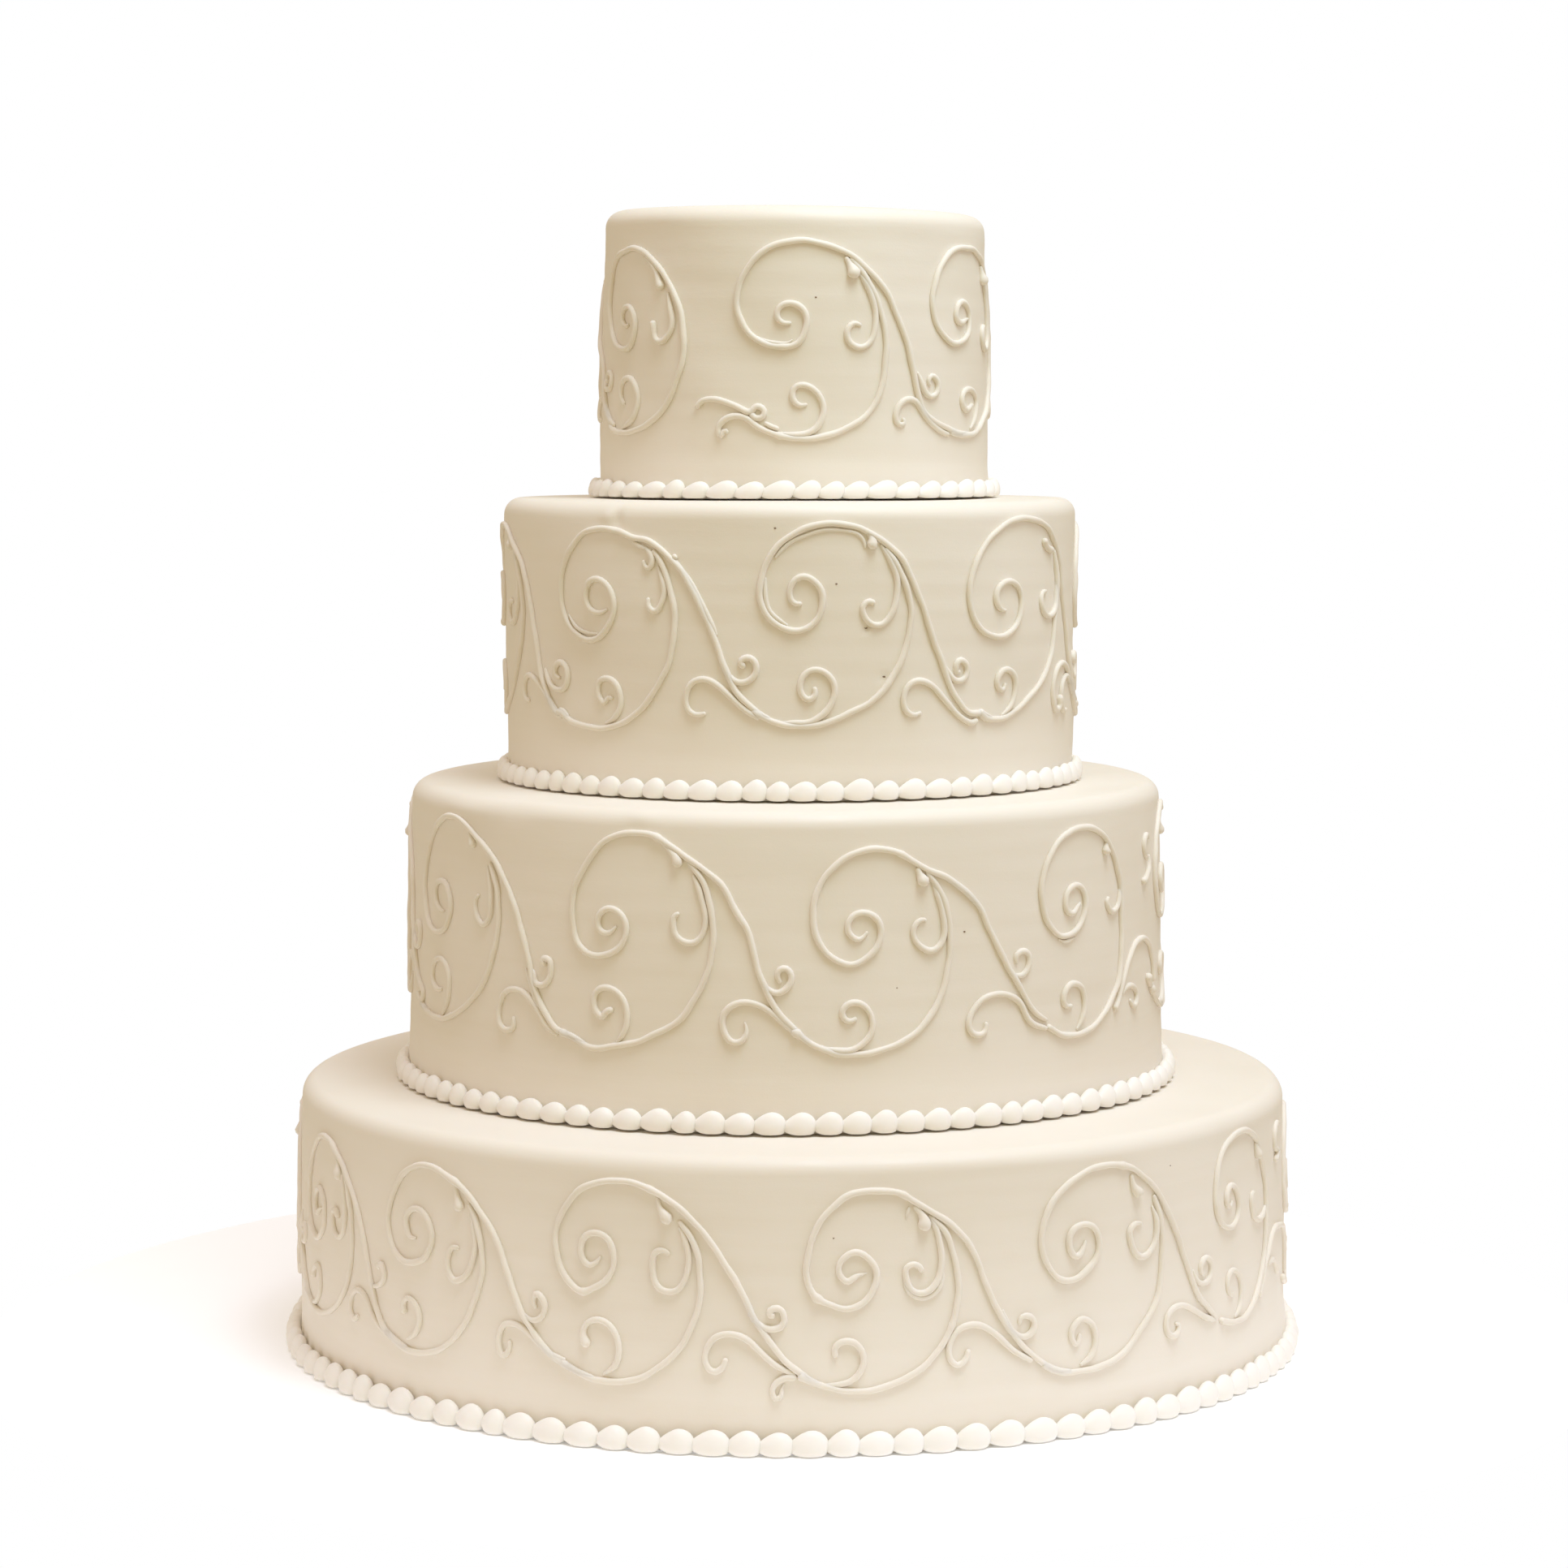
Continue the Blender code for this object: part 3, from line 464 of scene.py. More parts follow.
SECOND_LEFT = {
    "head": Line([
        (-76.8, 73.7), (-81.3, 72), (-85.5, 73.3), (-87.8, 76.6), (-87.8, 80.3),
        (-85.5, 84.1), (-81.8, 85.5), (-77.6, 84.1), (-74.3, 80.3), (-73.2, 75.8),
        (-74.3, 70.3), (-77.6, 65.3), (-82.2, 62), (-87.2, 61.2), (-93, 62.8), (-98.8, 67),
        (-102.2, 72.8), (-103.2, 78.7), (-102.2, 86.2), (-99.3, 92.8), (-94.7, 98.7),
        (-88.8, 103.3), (-82.2, 105.1), (-75.5, 105.1), (-69.7, 103.7), (-64.7, 102)]),
    "stem": [(-58.8, 101.2), (-53, 98.3), (-48, 94.1), (-43.8, 90.3), (-40.5, 85.3),
             (-37.2, 79.5), (-33.8, 72.8), (-30.9, 66.2), (-28, 58.7), (-25.5, 52),
             (-23, 46.2), (-20, 41.2), (-15, 36.7)],
    "bowl": Line([
        (-105.9, 30.8), (-103.8, 31.6), (-98.8, 29.1), (-92.2, 27.4), (-83.8, 26.3),
        (-76.3, 27.2), (-69.7, 29.1), (-63, 33.3), (-57.2, 39.1), (-52.2, 46.2),
        (-48.8, 52.8), (-46.8, 60.3), (-45.9, 68.7), (-46.3, 76.2), (-48, 82.8),
        (-50.1, 88.7), (-53, 94.1), (-55.5, 97.4)], 1.4),
    "hook": Line([
        (-53.4, 91.2), (-51.3, 86.2), (-50.5, 80.3), (-51.8, 75.8), (-54.3, 73.3),
        (-57.2, 75.3), (-57.2, 78.7)]),
    "drip": Line([
        (-60.5, 99.1), (-57.2, 96.6), (-55.7, 93.3), (-57.2, 89.9), (-59.3, 91.2),
        (-59.5, 93.3)]),
    "curl": Line([
        (-78.8, 28.7), (-73.8, 30.8), (-71.1, 35.3), (-71.1, 40.3), (-73.4, 44.5),
        (-77.6, 46.4), (-81.3, 45.3), (-82.3, 42), (-81.3, 38.3), (-78.8, 36.6),
        (-77.5, 38.5), (-74.7, 38.3)]),
    "spray": Line([
        (-105.4, 30.8), (-111.3, 36.2), (-118, 41.2), (-123, 43.7), (-128, 45.3),
        (-131.6, 43.6), (-133, 39.6), (-131.4, 36), (-128, 35)], 0.9),
    "tendril": Line([
        (-115.5, 48.7), (-111.3, 42.8), (-106.3, 40.5), (-102.2, 41.2), (-99.7, 45.3),
        (-100.5, 49.5), (-104.3, 51.6), (-107.6, 49.9), (-108, 47), (-104.7, 45.3)]),
    "ring side": Line([(-82.2, 63.7), (-90.5, 64.5), (-94.7, 66.6), (-99.3, 70.8)],
                      0.5, 0.5, 0.7),
    "stem side": Line([(-66.3, 101.2), (-61.3, 98.8), (-56, 97)], 0.5, 0.5, 0.8),
    "nub": Line([(-46.6, 95.6), (-45.9, 94.5), (-45.2, 93.6)], 0.8, 0.8),
}
SECOND_FRONT = {
    "stem": [(38.8, 99.1), (43.8, 94.1), (47.5, 87.8), (51.3, 79.7), (55, 70.3), (58.8, 60.3),
             (63.3, 50), (66.7, 42.5), (70.8, 36.7), (75.8, 32.9), (80, 32.5)],
}
SECOND_RIGHT = {
    "head": Line([
        (95, 72.9), (92.5, 72.9), (89.6, 75), (88.8, 78.3), (90.4, 82.1), (93.8, 83.8),
        (97.9, 83.8), (102.1, 81.7), (104.2, 77.9), (104.2, 73.3), (102.1, 68.3),
        (97.9, 64.2), (92.5, 62.3), (86.7, 62.9), (80.8, 65.8), (77.1, 70), (75, 76.7),
        (75, 83.3), (77.1, 90.4), (80.8, 96.3), (85.8, 101.7), (91.7, 105.4),
        (98.3, 107.9), (105.8, 108.9), (112.5, 108.3), (119.2, 106.9), (125, 105)]),
    "stem": [(129.2, 101.7), (133.6, 97), (137.5, 90.8), (140, 81.7), (143.3, 71.7),
             (146.7, 61.7), (150, 51.7), (155, 42), (162, 35.4), (167, 33)],
    "bowl": Line([
        (80.4, 33.8), (82.1, 31.7), (87.5, 29.8), (93.3, 29.6), (99.2, 31.3), (105.8, 34.2),
        (112.5, 37.9), (118.3, 41.7), (123.3, 46.7), (127.5, 52.5), (130, 59.2),
        (131.3, 65.8), (134, 74), (135, 80), (134.5, 87), (132.1, 95.8)], 1.3),
    "hook": Line([
        (134.4, 84), (134.2, 78.3), (132.5, 72.5), (129.2, 69.6), (125, 69.2),
        (120.8, 71.7), (119.2, 75.8), (120.8, 78.8), (124.2, 79.2)]),
    "drip": Line([(122, 100.6), (123.3, 98.3), (126.6, 96.2), (130, 95.4)], 1.3, 1.4),
    "curl": Line([
        (93.3, 30.8), (97.5, 33.3), (100.8, 37.5), (101.7, 42.5), (100, 47.1),
        (95.8, 49.2), (92.1, 47.9), (90.4, 44.6), (91.7, 41.7), (94.2, 41.3), (95.4, 43.8)]),
    "spray": Line([
        (79.6, 30), (76.7, 28.8), (73.3, 30), (69.2, 32.9), (64.2, 37.5), (60, 42.1),
        (55.6, 45.4), (51, 46.2), (46.9, 43.8), (45.2, 39.4), (46.2, 35), (49.4, 32.8),
        (53, 34)], 1.1),
    "tendril": Line([
        (62.5, 53.3), (65.8, 48.3), (69.2, 45.8), (72.5, 46.3), (74.3, 49.2), (73.3, 52.5),
        (70.4, 53.8), (68.8, 51.7), (69.6, 48.8), (70.8, 50)]),
    "next spray": Line([
        (164, 33.4), (158, 37), (152, 42.5), (147.5, 46.7), (143.3, 49.2), (138.3, 49.2),
        (133.3, 45.8), (131.3, 40), (132.1, 34.2), (135, 30.8), (138.8, 31.7),
        (138.3, 36.7)], 0.9, 1.4),
}
TOP_LEFT = {
    "head": Line([
        (-79.8, 69.4), (-82.5, 69.2), (-84.8, 71.4), (-84.2, 75), (-80.3, 76.9), (-76.3, 75.1),
        (-74.5, 70.6), (-75.2, 65.9), (-77.3, 61.9), (-80.2, 60.1), (-83.7, 59.8), (-88, 60.6),
        (-92, 62.9), (-95.9, 67), (-98.4, 72), (-99.4, 76.8), (-98.8, 82.2), (-97, 87.9),
        (-93.7, 93.4), (-88.7, 97.6), (-82, 99.5), (-77.8, 100.2), (-73, 99.6), (-68.1, 97.8),
        (-63.9, 95.3), (-59.8, 91.9), (-55.6, 87), (-52.1, 82.1), (-49.4, 77.3), (-47.6, 71),
        (-46.6, 64.8), (-46.2, 59.2), (-47.3, 53.7), (-49.4, 48.1), (-52.1, 41.9),
        (-56.3, 36.3), (-61.2, 32.1), (-66.7, 29), (-73, 27.3), (-78.5, 26.4), (-82, 26.2),
        (-88, 26.6), (-94, 29)], 0.7, 1.1),
    "stem": None,
    "bowl": None,
    "drip": Line([(-69.5, 96.4), (-65.3, 94.3), (-61.9, 90.5), (-59.8, 86.3), (-58, 83.2)],
                 0.7, 1.6),
    "hook": Line([
        (-55.3, 82.1), (-53.9, 77.3), (-52.5, 71.7), (-52.8, 67.6), (-54.9, 64.1),
        (-58.4, 62.3), (-61.5, 64.1), (-62.2, 66.9), (-63, 71)], 0.5, 1.3),
    "curl": Line([
        (-84, 27.8), (-80.6, 29), (-76.4, 30.8), (-73.3, 34.9), (-72.3, 40.5), (-74.4, 45.3),
        (-77.8, 48.1), (-82, 47.8), (-85, 44.6), (-84.6, 40), (-82, 37.7)]),
}
# The scroll on the top tier starts afresh at the front, with a bowl and lines of its own.
TOP_FRONT = {
    "stem": [(25, 94.2), (30.6, 89.5), (36.3, 83.6), (40.6, 76.1), (44.4, 67.9), (47.5, 59.8),
             (50, 50.4), (51.9, 42.3), (55, 35.4), (60, 31.1), (66.3, 28.7)],
    "bowl": Line([
        (-26.4, 26.2), (-28.2, 27), (-29.4, 24.8), (-30.6, 26.6), (-29.9, 29.4),
        (-27.4, 31.6), (-23.8, 32.8), (-20.6, 32.5), (-17.8, 31.2), (-14.8, 28.9),
        (-10, 26.3), (-5.6, 24.9), (2, 24), (10, 24.4), (17.5, 26.7), (23.8, 29.8),
        (28.8, 33.1), (32.5, 38), (35.2, 44.2), (36.6, 50.4), (37.2, 58.6), (36.9, 66.1),
        (35.4, 72.8), (33, 79.2), (29.8, 85.4), (26, 91), (22, 95)],
        0.8, knobs=[(-6, 25, 0.3, 1.0)]),
    "spray": Line([
        (-40.2, 35.6), (-38.6, 38.2), (-33.8, 39.5), (-29.4, 38.9), (-25, 37.3),
        (-20.6, 35.2), (-17.5, 34.5), (-15.6, 36.4), (-12.9, 36), (-12, 33.8),
        (-13.6, 32), (-16.2, 32.6), (-17, 34.4)], 1.1, 1.0),
    "tendril": Line([(-12, 30.2), (-9.4, 28.8), (-6.2, 27.6)], 0.8, 0.9, 0.85),
}
TOP_RIGHT = {
    "head": Line([
        (85.8, 72.1), (83, 71.4), (79.5, 70.3), (76.4, 71.7), (76.1, 75.2), (78.1, 78),
        (80.9, 78.8), (84, 77.6), (86.1, 75.2), (86.5, 70.3), (85.4, 66.9), (82.3, 64.1),
        (78.1, 62.3), (73.3, 62), (68.4, 64.1), (63.6, 68.3), (61.1, 73.8), (60.9, 80.1),
        (62.2, 84.9), (64.9, 91.2), (69.1, 96), (74.7, 99.5), (80.2, 100.5), (85.8, 100.5),
        (91.3, 100.2), (96.9, 98.5), (102.4, 96)]),
    "bowl": Line([
        (69.8, 26.9), (76.1, 25.5), (83, 25.2), (89.9, 26.2), (96.2, 28.7), (102.4, 31.8),
        (107.3, 34.9), (112, 40.4), (115.4, 48), (116.4, 57), (115.4, 67), (112.6, 76.6),
        (108.6, 85), (104.6, 91)], 1.1),
    "drip": Line([(102.2, 94), (103.4, 90), (104.5, 86.3)], 0.7, 1.9),
    "curl": Line([
        (85.8, 27.6), (89.3, 30.8), (92, 35.6), (92.7, 39.1), (90.6, 41.9), (86.5, 43.6),
        (82.3, 43.3), (79.5, 41.2), (79.2, 37.7), (82.3, 35.3), (85.8, 36.7), (88.6, 37.7)]),
    "spray": Line([
        (69.8, 25.5), (64.9, 26.6), (59.4, 30.1), (54.5, 34.9), (51.1, 38.7), (47.6, 39.4),
        (43.8, 37.7), (41.7, 34.2), (41.7, 31.4), (43.8, 29.4), (45.5, 30.1), (44.8, 32.1)],
        0.9),
    "tendril": Line([
        (52, 50.4), (53.8, 46.7), (55.9, 42.6), (59.4, 40.5), (62.2, 41.9), (63.2, 44.6),
        (61.5, 48.1), (59.4, 48.8), (58, 46.7), (59, 44.9)]),
}
# What is left out of the first circle past the right, where the lines above take its room.
PAST_RIGHT = {"spray": None, "tendril": None}

TIERS = (
    Tier("bottom", 2.0, 6.8, 104, 0.05, MOTIF_BOTTOM, (
        Circle(-232.5, 25, 98, 53, BOTTOM_FAR_LEFT), Circle(-150.5, 25, 98, 51, BOTTOM_LEFT),
        Circle(-63.5, 25, 100, 59, BOTTOM_NEAR_LEFT),
        Circle(33.6, 23.6, 98.8, 58, BOTTOM_FRONT),
        Circle(126.5, 24, 101.5, 59, BOTTOM_NEAR_RIGHT),
        Circle(215.5, 27, 102, 53, BOTTOM_RIGHT)), 14, 206.0),
    Tier("third", 2.8, 6.8, 89, 0.05, MOTIF_THIRD, (
        Circle(-154.5, 32, 115, 61, THIRD_LEFT), Circle(-57, 31, 115, 60, THIRD_NEAR_LEFT),
        Circle(37.5, 30.3, 108.8, 55, THIRD_FRONT),
        Circle(133.5, 31, 112, 55, THIRD_RIGHT)), 10, 156.8),
    Tier("second", -0.8, 6.8, 71, 0.08, MOTIF_SECOND, (
        Circle(-164, 27, 105, 58, SECOND_FAR_LEFT), Circle(-75, 26, 104, 58, SECOND_LEFT),
        Circle(18, 29.2, 107.8, 60, SECOND_FRONT),
        Circle(102.5, 29, 108, 59, SECOND_RIGHT)), 8, 118.2),
    Tier("top", 2.4, 6.8, 46, 0.22, MOTIF_TOP, (
        Circle(-73, 26, 101, 54, TOP_LEFT), Circle(6.5, 23.8, 101.5, 61, TOP_FRONT),
        Circle(87.5, 25, 100.5, 55, TOP_RIGHT)), 6, 79.6),
)

# The fondant's own marks: tier, u, v, how wide and high they are, and how far they stand out or sink in.
MARKS = (
    ("third", -150, 118, 16, 7, 1.3),
    ("third", -118, 121, 12, 5, -0.7),
    ("third", -58, 121, 5, 3, 0.8),
    ("second", -77, 110, 3.2, 3.5, 0.9),
    ("second", -72.5, 109, 2.2, 4.5, -1.1),
    ("second", 30.2, 67.6, 1.3, 1.0, -1.4),
    ("second", 36.9, 47.5, 1.5, 1.0, -0.9),
    ("bottom", 285, 6, 40, 16, 1.2),
    ("bottom", 140, 14, 50, 2.5, 0.35),
    ("bottom", 90, 108, 60, 5, 0.4),
    ("top", -60, 113, 25, 5, 0.5),
)

# Specks on the walls: tier, u, v and size.
SPECKS = (
    ("second", -5.8, 106, 0.55), ("second", 17.9, 84.4, 0.5), ("second", 29.9, 67.4, 0.9),
    ("second", 37.4, 48, 0.7), ("third", 71.5, 75.4, 0.55), ("third", 43, 55.2, 0.35),
    ("top", 8.3, 79.4, 0.5), ("bottom", 15, 81.2, 0.4), ("bottom", -20, 63.4, 0.4),
    ("bottom", 162, 97, 0.35), ("bottom", -114, 64.8, 0.4),
)


def rng_for(*key):
    """A repeatable source of random numbers for one part of the cake."""
    return np.random.default_rng([SEED, *[sum(map(ord, str(k))) for k in key]])


def make_mesh(name, points, faces, material, smooth=True):
    """An object in the scene from points in metres and faces by number."""
    mesh = bpy.data.meshes.new(name)
    mesh.from_pydata(np.asarray(points).tolist(), [], faces)
    mesh.update()
    mesh.polygons.foreach_set("use_smooth", [smooth] * len(mesh.polygons))
    mesh.materials.append(material)
    thing = bpy.data.objects.new(name, mesh)
    bpy.context.scene.collection.objects.link(thing)
    return thing


def grid_faces(rows, columns):
    """Four-sided faces over rows of points, each row closed on itself."""
    row, column = np.meshgrid(np.arange(rows - 1), np.arange(columns), indexing="ij")
    after = (column + 1) % columns
    faces = np.stack([
        row * columns + column, row * columns + after,
        (row + 1) * columns + after, (row + 1) * columns + column,
    ], axis=-1)
    return faces.reshape(-1, 4)


class Wall:
    """One tier's wall as the fondant really lies, from the frame's box of its node."""

    def __init__(self, tier):
        low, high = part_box("tier_" + tier.name)
        self.tier = tier
        self.shift = (low.x + high.x) / 2
        widest = (high.x - low.x) / 2
        lean = tier.lean * MM
        self.foot = widest - max(-lean, 0)
        self.top = widest - max(lean, 0)
        self.base = low.z
        self.height = high.z - low.z
        self.drawn = tier.drawn * MM
        rng = rng_for("wall", tier.name)
        self.waves = [
            (rng.integers(1, 10), rng.uniform(0.2, 2.2), rng.uniform(0, tau),
             rng.uniform(0.05, 0.16) * MM)
            for _ in range(12)
        ]
        self.ripples = [
            (rng.integers(0, 4), rng.uniform(5, 13), rng.uniform(0, tau),
             rng.uniform(0.015, 0.035) * MM)
            for _ in range(6)
        ]
        self.marks = [mark[1:] for mark in MARKS if mark[0] == tier.name]

    def relief(self, angle, up):
        """How far the fondant stands out from its true form, in metres, at a share of the height."""
        out = np.zeros(np.broadcast(angle, up).shape)
        for around, rise, phase, size in self.waves + self.ripples:
            out += size * np.sin(around * angle + rise * tau * up + phase)
        u = (angle + pi) % tau - pi
        for place, level, wide, high, size in self.marks:
            across = (u * self.drawn - place * MM) / (wide * MM)
            along = (up * self.height - level * MM) / (high * MM)
            out += size * MM * np.exp(-across**2 - along**2)
        return out

    def radius(self, angle, v):
        """Distance of the wall from the tier's middle, v metres over its foot."""
        up = v / self.height
        return self.foot + (self.top - self.foot) * up + self.relief(angle, up)

    def point(self, angle, radius, v):
        """Places in the frame from an angle to the right of the front, a radius and a level."""
        return np.stack([
            self.shift + radius * np.sin(angle),
            -radius * np.cos(angle),
            self.base + v + 0 * angle,
        ], axis=-1)


TOP_TILT = 1.05 * MM  # the top tier's top stands this much higher on the left than in the middle
LID_SINK = 0.35 * MM  # how far the tops lie below the tiers' full height, to leave room for their waves
TIER_SEGMENTS = 512
WALL_ROWS = 58
EDGE_ROWS = 9
LID_ROWS = 14


def make_tier(wall, fondant):
    """A tier with its uneven wall, rounded upper edge and gently uneven top."""
    tier = wall.tier
    angle = np.arange(TIER_SEGMENTS) / TIER_SEGMENTS * tau
    edge = tier.edge * MM
    highest = wall.height - (TOP_TILT if tier.name == "top" else 0)
    rows = [(0.0, v) for v in np.linspace(0, highest - edge, WALL_ROWS)]
    for turn in np.linspace(0, pi / 2, EDGE_ROWS)[1:]:
        rows.append((edge * (1 - cos(turn)), highest - edge * (1 - sin(turn))))
    points = [wall.point(angle, wall.radius(angle, v) - inset, v) for inset, v in rows]
    rim = wall.radius(angle, highest) - edge
    rng = rng_for("lid", tier.name)
    waves = [(rng.integers(1, 6), rng.uniform(0, tau), rng.uniform(0.1, 0.3)) for _ in range(5)]
    for share in np.linspace(1, 0, LID_ROWS, endpoint=False)[1:]:
        points.append(wall.point(angle, rim * share, highest))
    centre = wall.point(np.zeros(1), np.zeros(1), highest)
    points = np.concatenate([np.concatenate(points), centre])
    x, y = points[:, 0] - wall.shift, points[:, 1]
    sag = sum(
        size * 0.25 * MM * np.sin(many * np.arctan2(x, -y) + phase) * np.hypot(x, y) / wall.top
        for many, phase, size in waves
    )
    near_top = np.clip((points[:, 2] - wall.base - highest + 2 * edge) / (2 * edge), 0, 1)
    points[:, 2] += (sag - LID_SINK) * near_top
    if tier.name == "top":
        points[:, 2] -= TOP_TILT * x / wall.top * near_top
    faces = grid_faces(WALL_ROWS + EDGE_ROWS - 1 + LID_ROWS - 1, TIER_SEGMENTS).tolist()
    last = len(points) - 1
    ring = last - TIER_SEGMENTS
    faces += [(ring + i, ring + (i + 1) % TIER_SEGMENTS, last) for i in range(TIER_SEGMENTS)]
    faces.append(tuple(reversed(range(TIER_SEGMENTS))))
    thing = make_mesh("fondant_" + tier.name, points, faces, fondant)
    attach(thing, "root")
    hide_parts("tier_" + tier.name)


def smooth_curve(points):
    """A smooth curve through the points, as places a short step apart, and the way along it to each."""
    p = np.asarray(points, float)
    along = np.concatenate([[0], np.cumsum(np.hypot(*np.diff(p, axis=0).T))])
    gap = np.diff(along)
    n = len(p)
    system = np.eye(n)
    right = np.zeros((n, 2))
    for i in range(1, n - 1):
        system[i, i - 1:i + 2] = gap[i - 1], 2 * (gap[i - 1] + gap[i]), gap[i]
        right[i] = 6 * ((p[i + 1] - p[i]) / gap[i] - (p[i] - p[i - 1]) / gap[i - 1])
    bend = np.linalg.solve(system, right)
    even = np.linspace(0, along[-1], max(4, int(along[-1] / LINE_STEP)))
    cap = np.array(CAP_RINGS) * ROPE
    s = np.unique(np.concatenate([even, cap, along[-1] - cap]))
    i = np.clip(np.searchsorted(along, s, side="right") - 1, 0, n - 2)
    before, after = (s - along[i])[:, None], (along[i + 1] - s)[:, None]
    g = gap[i][:, None]
    curve = (
        bend[i] * after**3 / (6 * g) + bend[i + 1] * before**3 / (6 * g)
        + (p[i] / g - bend[i] * g / 6) * after + (p[i + 1] / g - bend[i + 1] * g / 6) * before
    )
    return curve, s


def ripple(s, waves, phases):
    """The sum of waves, each with its size, its length and its phase."""
    return sum(size * np.sin(s / length + phase) for (size, length), phase in zip(waves, phases))


def rope_points(line, lift, rng):
    """Rings of points round a piped line, as u, v and distance off the wall in millimetres."""
    curve, s = smooth_curve(line.points)
    total = s[-1]
    slope = np.gradient(curve, s, axis=0)
    slope /= np.hypot(*slope.T)[:, None]
    side = np.stack([-slope[:, 1], slope[:, 0]], axis=1)
    phase = rng.uniform(0, tau, 4)
    curve = curve + side * ripple(s, TREMBLES, phase[:2])[:, None]
    thick = 1 + ripple(s, SWELLS, phase[2:])
    fade = min(END_FADE, total * 0.45)
    ball_start, ball_end = (ROPE * line.thick * np.array([line.start, line.end])).clip(1, total * 0.3)
    at_start = np.clip(1 - (s - ball_start).clip(0) / fade, 0, 1) ** 1.5
    at_end = np.clip(1 - (total - s - ball_end).clip(0) / fade, 0, 1) ** 1.5
    thick *= 1 + (line.start - 1) * at_start + (line.end - 1) * at_end
    for u, v, size, reach in line.knobs:
        thick += size * np.exp(-((curve[:, 0] - u) ** 2 + (curve[:, 1] - v) ** 2) / reach**2)
    radius = ROPE * line.thick * thick
    round_start = np.sqrt(1 - np.clip(1 - s / radius[0], 0, 0.999) ** 2)
    round_end = np.sqrt(1 - np.clip(1 - (total - s) / radius[-1], 0, 0.999) ** 2)
    shrunk = radius * round_start * round_end
    turn = np.arange(RING) / RING * tau
    across = np.cos(turn)[None, :] * shrunk[:, None]
    off = np.sin(turn)[None, :] * shrunk[:, None] * ROPE_DEPTH + (radius * ROPE_LIFT + lift)[:, None]
    u = curve[:, :1] + across * side[:, :1]
    v = curve[:, 1:] + across * side[:, 1:]
    return u, v, off


def put(points, motif, circle):
    """The motif's places moved to a circle of the band."""
    u, v = np.array(points, float).T
    across = circle.middle + (u - motif.centre) * circle.wide / motif.wide
    up = (v - motif.low) * (circle.high - circle.low) / (motif.high - motif.low)
    return np.stack([across, circle.low + up], axis=1)


def sway(points, rng, size):
    """The places moved a little, as a hand pipes the same line again."""
    phase = rng.uniform(0, tau, 4)
    u, v = points.T
    return points + size * np.stack([
        np.sin(v / 17 + phase[0]) + 0.5 * np.sin(u / 9 + phase[1]),
        np.sin(u / 17 + phase[2]) + 0.5 * np.sin(v / 9 + phase[3]),
    ], axis=1)


def all_circles(tier):
    """The circles that the photograph shows, and evenly spaced ones round the back."""
    shown = list(tier.circles)
    hidden = tier.count - len(shown)
    space = (tau * tier.drawn - (shown[-1].middle - shown[0].middle)) / (hidden + 1)
    rng = rng_for("circles", tier.name)
    for i in range(hidden):
        model = shown[i % len(tier.circles)]
        follows_closed_ring = i == 0 and "rise" in tier.circles[-1].own
        shown.append(Circle(
            tier.circles[-1].middle + space * (i + 1) + rng.uniform(-HIDDEN_SHIFT, HIDDEN_SHIFT),
            model.low + rng.uniform(-HIDDEN_GROWTH, HIDDEN_GROWTH),
            model.high + rng.uniform(-HIDDEN_GROWTH, HIDDEN_GROWTH),
            min(model.wide, space * HIDDEN_WIDE), PAST_RIGHT if follows_closed_ring else {},
        ))
    return shown


def band_lines(tier, rng):
    """Every line of a tier's scroll and its lift: the vines from circle to circle, bowls and twigs."""
    motif = tier.motif
    circles = all_circles(tier)

    def own_or_moved(name, line, circle):
        """The circle's own line if the photograph shows it, or the front's moved there."""
        if name in circle.own:
            return circle.own[name]
        size = FRONT_SWAY if circle.middle == motif.centre else SWAY
        knobs = [(*put([(u, v)], motif, circle)[0], s, reach) for u, v, s, reach in line.knobs]
        return line._replace(points=sway(put(line.points, motif, circle), rng, size), knobs=knobs)

    bowls = [own_or_moved("bowl", motif.bowl, circle) for circle in circles]
    for i, circle in enumerate(circles):
        after = circles[(i + 1) % len(circles)]
        lap = tau * tier.drawn if i + 1 == len(circles) else 0
        head = own_or_moved("head", motif.head, circle)
        if "stem" in circle.own:
            stem = circle.own["stem"]
        else:
            landing = put(motif.landing, motif, after) + (lap, 0)
            stem = np.concatenate([put(motif.stem, motif, circle), landing])
        if stem is not None:
            vine = np.concatenate([head.points, stem])
            next_bowl = bowls[(i + 1) % len(circles)]
            if next_bowl:
                vine = np.concatenate([vine, np.array(next_bowl.points[1:3]) + (lap, STRAND)])
            head = head._replace(points=vine)
        yield head, VINE_LIFT
        if bowls[i]:
            yield bowls[i], BOWL_LIFT
        for name in dict.fromkeys([*motif.twigs, *circle.own]):
            if name in ("head", "stem", "bowl"):
                continue
            line = own_or_moved(name, motif.twigs.get(name), circle)
            if line:
                yield line, rng.uniform(-TWIG_LIFT, TWIG_LIFT)
        if circle.middle == motif.centre:
            for line in motif.extras:
                yield line, 0.0


